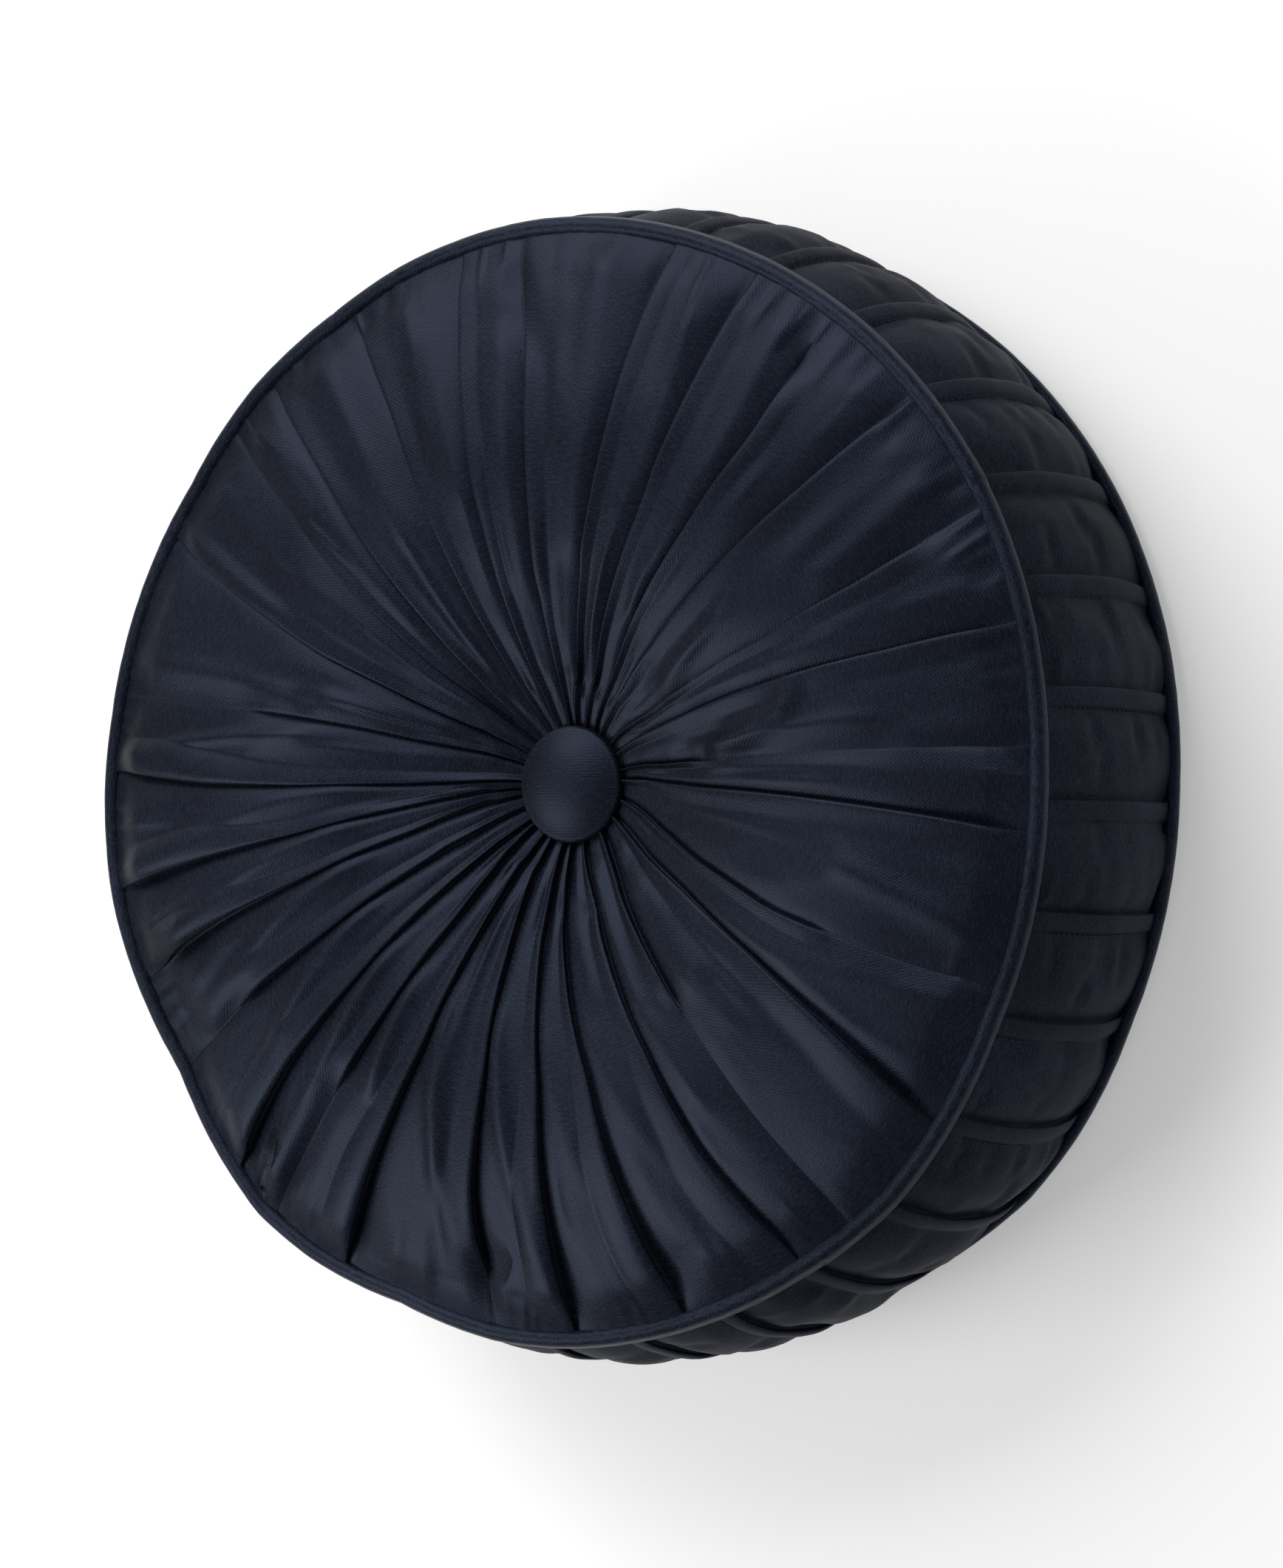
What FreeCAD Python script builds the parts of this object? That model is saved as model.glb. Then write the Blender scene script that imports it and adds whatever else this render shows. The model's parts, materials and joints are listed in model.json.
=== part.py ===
"""Round tufted box cushion, a seat cushion that lies flat with its axis along Z.

Z = 0 is the surface that it rests on and X, Y = 0 is its axis. Two pleated face panels and a
tucked boxing band are sewn together over two piping rings. Inside are an inner case, a fibre
fill and the tufting twine that draws a covered button into each face.

Heights are given from a seam plane, outwards: upwards on the top side, downwards on the bottom.
"""
import FreeCAD, Part
import math
import os
import re

import Sketcher

# Driving dimensions in millimetres, degrees and pieces.
SIZES = {
    # the sewn cover
    "cover_radius": 188.0,        # axis to the middle of the piping
    "band_height": 90.0,          # seam plane to seam plane
    "band_bulge": 4.3,            # how far the band stands out between the seams
    "band_thickness": 0.8,
    "panel_thickness": 0.8,
    "seam_allowance": 10.0,       # cloth turned inwards at each seam
    "panel_lift": 2.4,            # where a face panel starts above its seam plane
    "fold_depth": 2.0,            # solid fold at the edge of a face panel
    "ply_gap": 0.1,               # between plies that are sewn together
    "soft_clearance": 0.3,        # between pieces that only lie on each other
    # faces
    "top_crown": 12.0,            # above the seam plane
    "top_rim_width": 55.2,        # from the seam in to the highest ring of the face
    "top_flat_width": 15.0,       # across that ring
    "bottom_crown": 9.0,
    "bottom_rim_width": 35.2,
    "bottom_flat_width": 55.0,    # across the ring that the cushion rests on
    "dimple_depth": 10.5,         # under the button, below the seam plane
    "dimple_margin": 1.2,         # flat cloth around the button
    "panel_hole": 7.0,
    # piping
    "piping_cord_radius": 2.0,
    "piping_cloth": 0.5,          # round the cord, and on each side of the seam plane
    "flange_slit": 0.1,           # between the two plies that are sewn into the seam
    # tucks of the band
    "tuck_count": 32,
    "tuck_width": 6.5,
    "tuck_thickness": 1.2,
    "tuck_root": 0.4,             # how deep the tuck is joined to the band
    "first_fold": -2.2,           # angle of a fold edge
    # threads
    "thread_radius": 0.25,
    "seam_inset": 5.0,            # stitch line to the edge of the seam
    "tuck_stitch_lift": 0.3,      # middle of the stitching above the band
    "gathering_radius": 0.5,
    "gathering_inset": 1.6,       # from the edge of the hole in a face
    "closing_angle": 38.0,        # the seam that is sewn shut by hand
    # inner case and fill
    "liner_thickness": 0.5,
    "liner_margin": 3.4,          # from the gathering thread to the hole in the liner
    "channel_clearance": 1.4,     # round the twine loops
    # buttons and twine
    "button_radius": 20.3,
    "button_height": 6.7,
    "button_rim": 2.0,
    "button_cloth": 0.5,
    "button_turn_in": 4.0,
    "button_sheet": 0.6,
    "button_back_thickness": 1.0,
    "button_slack": 0.1,
    "eye_radius": 3.0,
    "eye_wire": 0.6,
    "loop_radius": 3.0,
    "loop_wire": 0.6,
    "twine_radius": 1.2,
    "knot_turns": 2,
}

SIDES = ("top", "bottom")
OUTWARDS = {"top": 1, "bottom": -1}

document = FreeCAD.newDocument("RoundCushion")
sheet = document.addObject("Spreadsheet::Sheet", "Sizes")


def fill_sheet():
    for row, (name, number) in enumerate(SIZES.items(), start=1):
        sheet.set(f"A{row}", name)
        sheet.set(f"B{row}", str(number))
        sheet.setAlias(f"B{row}", name)
    document.recompute()


def bound(text):
    """The same expression with each named size pointing at the sheet."""
    return re.sub(r"[a-z_]+", lambda found: f"Sizes.{found[0]}" if found[0] in SIZES else found[0], text)


def value(text):
    return float(sheet.evalExpression(bound(text)))


# ---------------------------------------------------------------- places that pieces share

PIPING_RADIUS = "(piping_cord_radius + ply_gap + piping_cloth)"
SEAM_EDGE = f"(cover_radius - {PIPING_RADIUS} - soft_clearance + ply_gap)"
ALLOWANCE_EDGE = f"({SEAM_EDGE} - seam_allowance)"
ALLOWANCE_LOW = "(piping_cloth + ply_gap)"
ALLOWANCE_HIGH = "(piping_cloth + ply_gap + panel_thickness)"
DIMPLE_RADIUS = "(button_radius + dimple_margin)"
GATHERING_RING = "(panel_hole + gathering_inset)"
LINER_HOLE = f"({GATHERING_RING} + liner_margin)"
CHANNEL_RADIUS = "(loop_radius + loop_wire + channel_clearance)"
MIDDLE = "(bottom_crown + band_height / 2)"
BUTTON_BASE = "(soft_clearance - dimple_depth)"
BUTTON_BACK = f"({BUTTON_BASE} + button_cloth + button_slack)"
LOOP_CENTRE = f"({BUTTON_BACK} - eye_radius + eye_wire + loop_wire + soft_clearance - loop_radius)"
TWINE_END = f"({LOOP_CENTRE} - loop_radius - loop_wire - soft_clearance)"
TUCK_INSET = f"({PIPING_RADIUS} + soft_clearance)"
TUCK_ANGLE = f"(tuck_width / ({SEAM_EDGE} + band_bulge) * 180 / pi)"


def crown_outer(side):
    """Radius at which the flat top of a face ends and its rim begins."""
    return f"({SEAM_EDGE} - {side}_rim_width)"


def crown_inner(side):
    """Radius at which the flat top of a face meets the slope down to the button."""
    return f"({SEAM_EDGE} - {side}_rim_width - {side}_flat_width)"


def level(side, height):
    """Z of a point that lies this height outside the seam plane of a side."""
    if side == "top":
        return f"bottom_crown + band_height + ({height})"
    return f"bottom_crown - ({height})"


def rim_height(side, radius):
    """Height of a face between its crown and its edge, a circle that is level at the crown."""
    drop = f"({side}_crown - panel_lift)"
    run = f"{side}_rim_width"
    bend = f"(({run} * {run} + {drop} * {drop}) / (2 * {drop}))"
    reach = f"({radius} - {crown_outer(side)})"
    return f"({side}_crown - {bend} + sqrt({bend} * {bend} - {reach} * {reach}))"


def band_radius(inset):
    """Radius of the band's outside at a height inside the seam planes, a circle upright at mid height."""
    half = f"(band_height / 2 - {ALLOWANCE_LOW})"
    bend = f"(({half} * {half} + band_bulge * band_bulge) / (2 * band_bulge))"
    rise = f"(band_height / 2 - {inset})"
    return f"({SEAM_EDGE} + band_bulge - {bend} + sqrt({bend} * {bend} - {rise} * {rise}))"


# ---------------------------------------------------------------- turned bodies

STRAIGHT = None


def round_about(radius=None, height=None, long_way=False):
    """A circular side, given by one coordinate of its centre."""
    return {"radius": radius, "height": height, "long_way": long_way}


def arc_centre(start, end, side):
    """The centre that lies equally far from both ends and has the given coordinate."""
    run, rise = end[0] - start[0], end[1] - start[1]
    half = (end[0] ** 2 - start[0] ** 2 + end[1] ** 2 - start[1] ** 2) / 2
    if side["radius"] is not None:
        across = value(side["radius"])
        return across, (half - run * across) / rise
    up = value(side["height"])
    return (half - rise * up) / run, up


def side_geometry(start, end, side):
    """The sketch geometry of one side, and whether it runs backwards."""
    if side is STRAIGHT:
        return Part.LineSegment(FreeCAD.Vector(*start, 0), FreeCAD.Vector(*end, 0)), False
    centre = arc_centre(start, end, side)
    angles = [math.atan2(point[1] - centre[1], point[0] - centre[0]) for point in (start, end)]
    turn = (angles[1] - angles[0]) % (2 * math.pi)
    backwards = (turn > math.pi) != side["long_way"]
    first, last = reversed(angles) if backwards else angles
    if last < first:
        last += 2 * math.pi
    circle = Part.Circle(FreeCAD.Vector(*centre, 0), FreeCAD.Vector(0, 0, 1), math.dist(centre, start))
    return Part.ArcOfCircle(circle, first, last), backwards


def place_point(sketch, geometry, end, axis, text):
    """Bind one coordinate of a point to an expression."""
    measured = value(text)
    index = sketch.addConstraint(Sketcher.Constraint(axis, -1, 1, geometry, end, measured))
    sketch.setExpression(f"Constraints[{index}]", bound(text))


def outline_sketch(body, name, outline):
    """A closed outline in the plane of X and Z: (radius, height, side to the next point)."""
    sketch = body.newObject("Sketcher::SketchObject", name)
    plane = next(item for item in body.Origin.OriginFeatures if item.Role == "XZ_Plane")
    sketch.AttachmentSupport = [(plane, "")]
    sketch.MapMode = "FlatFace"
    points = [(value(radius), value(height)) for radius, height, _ in outline]
    ends = []
    for index, (_, _, side) in enumerate(outline):
        following = (index + 1) % len(outline)
        shape, backwards = side_geometry(points[index], points[following], side)
        geometry = sketch.addGeometry(shape, False)
        ends.append((geometry, 2 if backwards else 1, 1 if backwards else 2))
    for index, (radius, height, side) in enumerate(outline):
        geometry, start, _ = ends[index]
        before, _, end_before = ends[index - 1]
        sketch.addConstraint(Sketcher.Constraint("Coincident", before, end_before, geometry, start))
        place_point(sketch, geometry, start, "DistanceX", radius)
        place_point(sketch, geometry, start, "DistanceY", height)
        if side is not STRAIGHT:
            axis = "DistanceX" if side["radius"] is not None else "DistanceY"
            place_point(sketch, geometry, 3, axis, side["radius"] or side["height"])
    return sketch


def turn(body, name, outline, angle="360"):
    """Revolve an outline about the axis of the cushion."""
    sketch = outline_sketch(body, name + "_outline", outline)
    feature = body.newObject("PartDesign::Revolution", name + "_turn")
    feature.Profile = (sketch, [""])
    feature.ReferenceAxis = (sketch, ["V_Axis"])
    feature.setExpression("Angle", bound(angle))
    return feature


def new_body(label):
    body = document.addObject("PartDesign::Body", label)
    body.Label = label
    return body


def turned_body(label, outline):
    body = new_body(label)
    turn(body, label, outline)
    return body


# ---------------------------------------------------------------- cords, threads and rings

def ring(name, radius, thickness, height):
    """A round cord or thread that lies level about the axis."""
    torus = document.addObject("Part::Torus", name)
    torus.Label = name
    torus.setExpression("Radius1", bound(radius))
    torus.setExpression("Radius2", bound(thickness))
    torus.setExpression("Placement.Base.z", bound(height))
    return torus


def group(label, pieces):
    compound = document.addObject("Part::Compound", label)
    compound.Label = label
    compound.Links = pieces
    return compound


def turn_placement(piece, axis, angle):
    piece.Placement = FreeCAD.Placement(piece.Placement.Base, FreeCAD.Rotation(axis, angle))


# ---------------------------------------------------------------- the cover

def face_outline(side, depth, edge):
    """Points of a face from its dimple to an edge, this depth below its outer surface."""
    crown = level(side, f"{side}_crown - {depth}")
    dimple = level(side, f"-dimple_depth - {depth}")
    return [
        (DIMPLE_RADIUS, dimple, round_about(radius=crown_inner(side))),
        (crown_inner(side), crown, STRAIGHT),
        (crown_outer(side), crown, round_about(radius=crown_outer(side))),
        edge,
    ]


def backwards_outline(outline):
    """The same points the other way round, for the far side of a sheet."""
    sides = [side for _, _, side in outline[:-1]]
    points = [(radius, height) for radius, height, _ in reversed(outline)]
    return [(*point, side) for point, side in zip(points, reversed([STRAIGHT] + sides))]


def face_panel(side):
    """A face, gathered to a hole under the button, with its seam allowance turned inwards."""
    outer = face_outline(side, "0", (SEAM_EDGE, level(side, "panel_lift"), STRAIGHT))
    fold = f"({SEAM_EDGE} - fold_depth)"
    fold_height = f"{rim_height(side, fold)} - panel_thickness"
    inner = face_outline(side, "panel_thickness", (fold, level(side, fold_height), STRAIGHT))
    allowance = [
        (SEAM_EDGE, level(side, ALLOWANCE_LOW), STRAIGHT),
        (ALLOWANCE_EDGE, level(side, ALLOWANCE_LOW), STRAIGHT),
        (ALLOWANCE_EDGE, level(side, ALLOWANCE_HIGH), STRAIGHT),
        (fold, level(side, ALLOWANCE_HIGH), STRAIGHT),
    ]
    hole = [
        ("panel_hole", level(side, "-dimple_depth - panel_thickness"), STRAIGHT),
        ("panel_hole", level(side, "-dimple_depth"), STRAIGHT),
    ]
    return turned_body(f"{side}_face_panel", outer + allowance + backwards_outline(inner) + hole)


def piping_cover(side):
    """A cloth strip round the cord, with both edges laid together as a flange."""
    inner_radius = "(piping_cord_radius + ply_gap)"
    half_chord = f"sqrt({PIPING_RADIUS} * {PIPING_RADIUS} - piping_cloth * piping_cloth)"
    outer_start = f"(cover_radius - {half_chord})"
    half_slit = "(flange_slit / 2)"
    inner_start = f"(cover_radius - sqrt({inner_radius} * {inner_radius} - {half_slit} * {half_slit}))"
    about_cord = round_about(radius="cover_radius", long_way=True)
    return turned_body(f"{side}_piping_cover", [
        (outer_start, level(side, "piping_cloth"), about_cord),
        (outer_start, level(side, "-piping_cloth"), STRAIGHT),
        (ALLOWANCE_EDGE, level(side, "-piping_cloth"), STRAIGHT),
        (ALLOWANCE_EDGE, level(side, f"-{half_slit}"), STRAIGHT),
        (inner_start, level(side, f"-{half_slit}"), about_cord),
        (inner_start, level(side, half_slit), STRAIGHT),
        (ALLOWANCE_EDGE, level(side, half_slit), STRAIGHT),
        (ALLOWANCE_EDGE, level(side, "piping_cloth"), STRAIGHT),
    ])


def seam_thread(side):
    """Needle thread above and bobbin thread below the plies of a seam."""
    radius = f"{SEAM_EDGE} - seam_inset"
    lift = f"{ALLOWANCE_HIGH} + thread_radius + ply_gap / 2"
    needle = ring(f"{side}_needle_thread", radius, "thread_radius", level(side, lift))
    bobbin = ring(f"{side}_bobbin_thread", radius, "thread_radius", level(side, f"-({lift})"))
    return group(f"{side}_seam_thread", [needle, bobbin])


def gathering_thread(side):
    """The thread that draws the pleats together round the hole of a face panel."""
    height = level(side, "-dimple_depth - panel_thickness - ply_gap - gathering_radius")
    return ring(f"{side}_gathering_thread", GATHERING_RING, "gathering_radius", height)


def band_side(depth, inset):
    """The bulged side of the band from the top seam to the bottom seam, this depth inside it."""
    edge = f"({band_radius(inset)} - {depth})"
    widest = f"({SEAM_EDGE} + band_bulge - {depth})"
    bulge = round_about(height=MIDDLE)
    return [
        (edge, level("top", f"-{inset}"), bulge),
        (widest, MIDDLE, bulge),
        (edge, level("bottom", f"-{inset}"), STRAIGHT),
    ]


def boxing_band():
    """The upright band, with allowances at both seams and tucks sewn flat at even spaces."""
    body = new_body("boxing_band")
    top_allowance = [
        (ALLOWANCE_EDGE, level("top", f"-{ALLOWANCE_HIGH}"), STRAIGHT),
        (ALLOWANCE_EDGE, level("top", f"-{ALLOWANCE_LOW}"), STRAIGHT),
    ]
    bottom_allowance = [
        (ALLOWANCE_EDGE, level("bottom", f"-{ALLOWANCE_LOW}"), STRAIGHT),
        (ALLOWANCE_EDGE, level("bottom", f"-{ALLOWANCE_HIGH}"), STRAIGHT),
    ]
    inner = backwards_outline(band_side("band_thickness", ALLOWANCE_HIGH))
    turn(body, "band", top_allowance + band_side("0", ALLOWANCE_LOW) + bottom_allowance + inner)

    outer_face = band_side("-tuck_thickness", TUCK_INSET)
    root = backwards_outline(band_side("tuck_root", TUCK_INSET))
    tuck = turn(body, "tuck", outer_face + root, TUCK_ANGLE)
    tucks = body.newObject("PartDesign::PolarPattern", "tucks")
    tucks.Originals = [tuck]
    axis = next(item for item in body.Origin.OriginFeatures if item.Role == "Z_Axis")
    tucks.Axis = (axis, [""])
    tucks.Angle = 360
    tucks.setExpression("Occurrences", bound("tuck_count"))
    body.Tip = tucks
    turn_placement(body, FreeCAD.Vector(0, 0, 1), value(f"first_fold - {TUCK_ANGLE}"))
    return body


def tuck_stitches():
    """One upright line of stitching beside the root of each tuck."""
    lift, thread = value("tuck_stitch_lift"), value("thread_radius")
    middle, half = value(MIDDLE), value(f"band_height / 2 - {TUCK_INSET} - thread_radius")
    end_radius = value(band_radius(f"({TUCK_INSET} + thread_radius)")) + lift
    widest = FreeCAD.Vector(value(f"{SEAM_EDGE} + band_bulge") + lift, 0, middle)
    ends = [FreeCAD.Vector(end_radius, 0, middle + height) for height in (-half, half)]
    curve = Part.Arc(ends[0], widest, ends[1])
    direction = curve.tangent(curve.FirstParameter)[0]
    section = Part.Wire([Part.Circle(ends[0], direction, thread).toShape()])
    line = Part.Wire([curve.toShape()]).makePipeShell([section], True, False)

    beside_root = math.degrees((lift + thread) / end_radius)
    first = value(f"first_fold - {TUCK_ANGLE}") - beside_root
    count = int(value("tuck_count"))
    lines = []
    for number in range(count):
        copy = line.copy()
        copy.rotate(FreeCAD.Vector(), FreeCAD.Vector(0, 0, 1), first + 360 / count * number)
        lines.append(copy)
    feature = document.addObject("Part::Feature", "tuck_stitches")
    feature.Label = "tuck_stitches"
    feature.Shape = Part.makeCompound(lines)
    return feature


def closing_stitches():
    """Ladder stitch drawn into the groove between the bottom piping and the bottom face."""
    radius = f"{SEAM_EDGE} - thread_radius"
    height = "panel_lift + 2 * thread_radius + ply_gap"
    thread = ring("closing_stitches", radius, "thread_radius", level("bottom", height))
    thread.setExpression("Angle3", bound("closing_angle"))
    return thread


# ---------------------------------------------------------------- inside the cover

def liner_face(side):
    """The round panel of the inner case, close under a face panel."""
    label = f"liner_{side}"
    edge = f"({ALLOWANCE_EDGE} - soft_clearance)"
    outer_depth = "(panel_thickness + soft_clearance)"
    inner_depth = "(panel_thickness + soft_clearance + liner_thickness)"

    def rim(depth):
        return edge, level(side, f"{rim_height(side, edge)} - {depth}"), STRAIGHT

    outer = face_outline(side, outer_depth, rim(outer_depth))
    inner = backwards_outline(face_outline(side, inner_depth, rim(inner_depth)))
    hole = [
        (LINER_HOLE, level(side, f"-dimple_depth - {inner_depth}"), STRAIGHT),
        (LINER_HOLE, level(side, f"-dimple_depth - {outer_depth}"), STRAIGHT),
    ]
    return turned_body(label, outer + inner + hole)


def liner_band():
    """The side wall of the inner case, close inside the band."""
    outer_depth = "(band_thickness + soft_clearance)"
    inner_depth = "(band_thickness + soft_clearance + liner_thickness)"
    inset = f"({ALLOWANCE_HIGH} + soft_clearance)"
    outer = band_side(outer_depth, inset)
    return turned_body("liner_band", outer + backwards_outline(band_side(inner_depth, inset)))


def fibre_fill():
    """The stuffing, with a channel for the twine."""
    depth = "(panel_thickness + liner_thickness + 3 * soft_clearance)"
    inset = f"({ALLOWANCE_HIGH} + 2 * thread_radius + 2 * soft_clearance)"
    shoulder = f"({ALLOWANCE_EDGE} - 2 * soft_clearance)"
    side_depth = "(band_thickness + liner_thickness + 2 * soft_clearance)"

    def face(side):
        rim = (shoulder, level(side, f"{rim_height(side, shoulder)} - {depth}"), STRAIGHT)
        start = (CHANNEL_RADIUS, level(side, f"-dimple_depth - {depth}"), STRAIGHT)
        below_seam = (shoulder, level(side, f"-{inset}"), STRAIGHT)
        return [start] + face_outline(side, depth, rim) + [below_seam]

    outline = face("top") + band_side(side_depth, inset) + backwards_outline(face("bottom"))
    return turned_body("fibre_fill", outline)


def tufting_twine():
    """The doubled twine between the loops of the two buttons."""
    twine = document.addObject("Part::Cylinder", "tufting_twine")
    twine.Label = "tufting_twine"
    twine.setExpression("Radius", bound("twine_radius"))
    twine.setExpression("Height", bound(f"band_height + 2 * {TWINE_END}"))
    twine.setExpression("Placement.Base.z", bound(level("bottom", TWINE_END)))
    return twine


def twine_knot():
    """Turns of twine knotted round the doubled twine, near its bottom end."""
    turns = []
    for number in range(int(value("knot_turns"))):
        height = f"{TWINE_END} - loop_wire * {4 * number + 4} / 2"
        radius = "twine_radius + loop_wire + ply_gap"
        turns.append(ring(f"knot_turn_{number}", radius, "loop_wire", level("bottom", height)))
    return group("twine_knot", turns)


# ---------------------------------------------------------------- buttons

def cup_outline(side, depth, base):
    """The outside of a button from its axis to its open underside, this depth inside it."""
    rim_radius = f"(button_radius - {depth})"
    return [
        ("0", level(side, f"{BUTTON_BASE} + button_height - {depth}"), round_about(radius="0")),
        (rim_radius, level(side, f"{BUTTON_BASE} + button_rim"), STRAIGHT),
        (rim_radius, level(side, base), STRAIGHT),
    ]


def button_cover(side):
    """Cloth over the button, turned in under its edge."""
    turned_edge = "(button_radius - button_turn_in)"
    inner_base = f"{BUTTON_BASE} + button_cloth"
    turned = [
        (turned_edge, level(side, BUTTON_BASE), STRAIGHT),
        (turned_edge, level(side, inner_base), STRAIGHT),
    ]
    inner = backwards_outline(cup_outline(side, "button_cloth", inner_base))
    outer = cup_outline(side, "0", BUTTON_BASE)
    return turned_body(f"{side}_button_cover", outer + turned + inner)


def button_shell(side):
    """The pressed metal cup that gives the button its dome."""
    outer_depth = "(button_cloth + button_slack)"
    inner_depth = "(button_cloth + button_slack + button_sheet)"
    outer = cup_outline(side, outer_depth, BUTTON_BACK)
    inner = backwards_outline(cup_outline(side, inner_depth, BUTTON_BACK))
    return turned_body(f"{side}_button_shell", outer + inner)


def button_back(side):
    """The plate that closes the cup and carries the eye."""
    radius = "(button_radius - button_cloth - button_sheet - 2 * button_slack)"
    upper = level(side, f"{BUTTON_BACK} + button_back_thickness")
    return turned_body(f"{side}_button_back", [
        ("0", upper, STRAIGHT),
        (radius, upper, STRAIGHT),
        (radius, level(side, BUTTON_BACK), STRAIGHT),
        ("0", level(side, BUTTON_BACK), STRAIGHT),
    ])


def button_eye(side):
    """A half ring of wire that stands inwards from the back of the button."""
    eye = ring(f"{side}_button_eye", "eye_radius", "eye_wire", level(side, BUTTON_BACK))
    eye.Angle3 = 180
    turn_placement(eye, FreeCAD.Vector(1, 0, 0), -90 * OUTWARDS[side])
    return eye


def twine_loop(side):
    """The end of the twine, tied through the eye."""
    loop = ring(f"{side}_twine_loop", "loop_radius", "loop_wire", level(side, LOOP_CENTRE))
    turn_placement(loop, FreeCAD.Vector(0, 1, 0), 90)
    return loop


# ---------------------------------------------------------------- build, test and write

def build_nodes():
    nodes = [boxing_band(), tuck_stitches(), closing_stitches(), liner_band(), fibre_fill()]
    nodes += [tufting_twine(), twine_knot()]
    for side in SIDES:
        nodes += [face_panel(side), piping_cover(side), seam_thread(side), gathering_thread(side)]
        cord_height = level(side, "0")
        nodes.append(ring(f"{side}_piping_cord", "cover_radius", "piping_cord_radius", cord_height))
        nodes.append(liner_face(side))
        nodes += [button_cover(side), button_shell(side), button_back(side)]
        nodes += [button_eye(side), twine_loop(side)]
    return nodes


def check(nodes):
    """Stop unless every object is sound and every node is a valid solid or group of solids."""
    for item in document.Objects:
        if {"Invalid", "Error"} & set(item.State):
            raise RuntimeError(f"{item.Label} failed: {item.State}")
    for node in nodes:
        if node.Shape.isNull() or not node.Shape.isValid() or not node.Shape.Solids:
            raise RuntimeError(f"{node.Label} has no valid solid")


def write(nodes):
    os.makedirs("parts", exist_ok=True)
    for node in nodes:
        node.Shape.exportStep(f"parts/{node.Label}.step")
        box = node.Shape.BoundBox
        print(f"{node.Label}: {len(node.Shape.Solids)} solids, {node.Shape.Volume:.1f} mm3,"
              f" z {box.ZMin:.2f} to {box.ZMax:.2f}, radius {box.XMax:.2f}")


fill_sheet()
all_nodes = build_nodes()
document.recompute()
check(all_nodes)
write(all_nodes)
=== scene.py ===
"""The looks of a round tufted satin cushion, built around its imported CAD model.

Heights on a face are given outwards from its seam plane, the plane through the middle of its piping.
Angles run counterclockwise from +X as the top face is seen from above.
"""
import json
import math

import bmesh
import bpy
import numpy as np
from mathutils import Matrix, Vector


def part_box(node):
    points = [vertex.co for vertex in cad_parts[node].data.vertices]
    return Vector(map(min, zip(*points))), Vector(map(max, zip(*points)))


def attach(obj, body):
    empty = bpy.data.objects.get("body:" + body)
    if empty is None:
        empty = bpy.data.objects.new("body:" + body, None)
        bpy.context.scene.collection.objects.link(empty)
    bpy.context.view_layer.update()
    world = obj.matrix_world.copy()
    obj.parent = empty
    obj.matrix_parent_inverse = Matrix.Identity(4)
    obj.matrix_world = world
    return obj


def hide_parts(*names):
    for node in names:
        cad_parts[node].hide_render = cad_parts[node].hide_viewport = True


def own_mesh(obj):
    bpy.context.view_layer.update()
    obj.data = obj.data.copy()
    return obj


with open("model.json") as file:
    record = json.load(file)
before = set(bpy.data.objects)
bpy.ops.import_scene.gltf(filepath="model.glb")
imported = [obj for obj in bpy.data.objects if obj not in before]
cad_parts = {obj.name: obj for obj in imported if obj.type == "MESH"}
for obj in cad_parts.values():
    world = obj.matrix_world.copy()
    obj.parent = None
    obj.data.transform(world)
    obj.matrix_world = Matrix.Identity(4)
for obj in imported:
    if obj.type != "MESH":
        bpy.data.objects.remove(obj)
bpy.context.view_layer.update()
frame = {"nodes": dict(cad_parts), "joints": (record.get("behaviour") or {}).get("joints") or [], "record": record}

MM = 0.001

# ---- sizes, from the frame

PIPING_LOW, PIPING_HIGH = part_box("top_piping_cover")
LOWER_PIPING_LOW, LOWER_PIPING_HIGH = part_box("bottom_piping_cover")
CORD_LOW, CORD_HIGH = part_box("top_piping_cord")
BUTTON_LOW, BUTTON_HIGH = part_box("top_button_cover")
TUBE = (PIPING_HIGH[2] - PIPING_LOW[2]) / 2
CORD = (CORD_HIGH[2] - CORD_LOW[2]) / 2
SEAM_RADIUS = PIPING_HIGH[0] - TUBE
TOP_SEAM = (PIPING_HIGH[2] + PIPING_LOW[2]) / 2
BOTTOM_SEAM = (LOWER_PIPING_LOW[2] + LOWER_PIPING_HIGH[2]) / 2
SEAM = {"top": TOP_SEAM, "bottom": BOTTOM_SEAM}
BAND_HALF = (TOP_SEAM - BOTTOM_SEAM) / 2
BAND_MIDDLE = (TOP_SEAM + BOTTOM_SEAM) / 2
TUCK_PROUD = 1.3 * MM
BAND_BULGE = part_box("boxing_band")[1][0] - (SEAM_RADIUS - TUBE) - TUCK_PROUD
CROWN = {
    "top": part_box("top_face_panel")[1][2] - TOP_SEAM,
    "bottom": BOTTOM_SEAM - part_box("bottom_face_panel")[0][2],
}
BUTTON_RADIUS = BUTTON_HIGH[0]
BUTTON_BASE = BUTTON_LOW[2] - TOP_SEAM
BUTTON_HEIGHT = BUTTON_HIGH[2] - BUTTON_LOW[2]
PRESS = -next(joint for joint in frame["joints"] if joint["name"] == "seat_press")["range_m"][0]

# ---- the stuffed outline

# How far the stuffed cushion's rim stands outside the true circle: angle, millimetres.
OUTLINE = (
    (0, 0.6), (15, 2.4), (30, 3.6), (50, 3.9), (70, 3.4), (92, 3.3), (110, 1.5), (120, -0.6),
    (132, -0.6), (145, -2.2), (160, 0.4), (170, 1.6), (180, 2.2), (192, 1.6), (200, 0.0), (212, -2.3),
    (220, 0.6), (230, 3.8), (238, 2.8), (250, -0.4), (262, 1.6), (278, 1.0), (300, 1.2), (313, 3.2),
    (322, 2.2), (335, 0.0), (345, 0.2), (360, 0.6),
)
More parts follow.
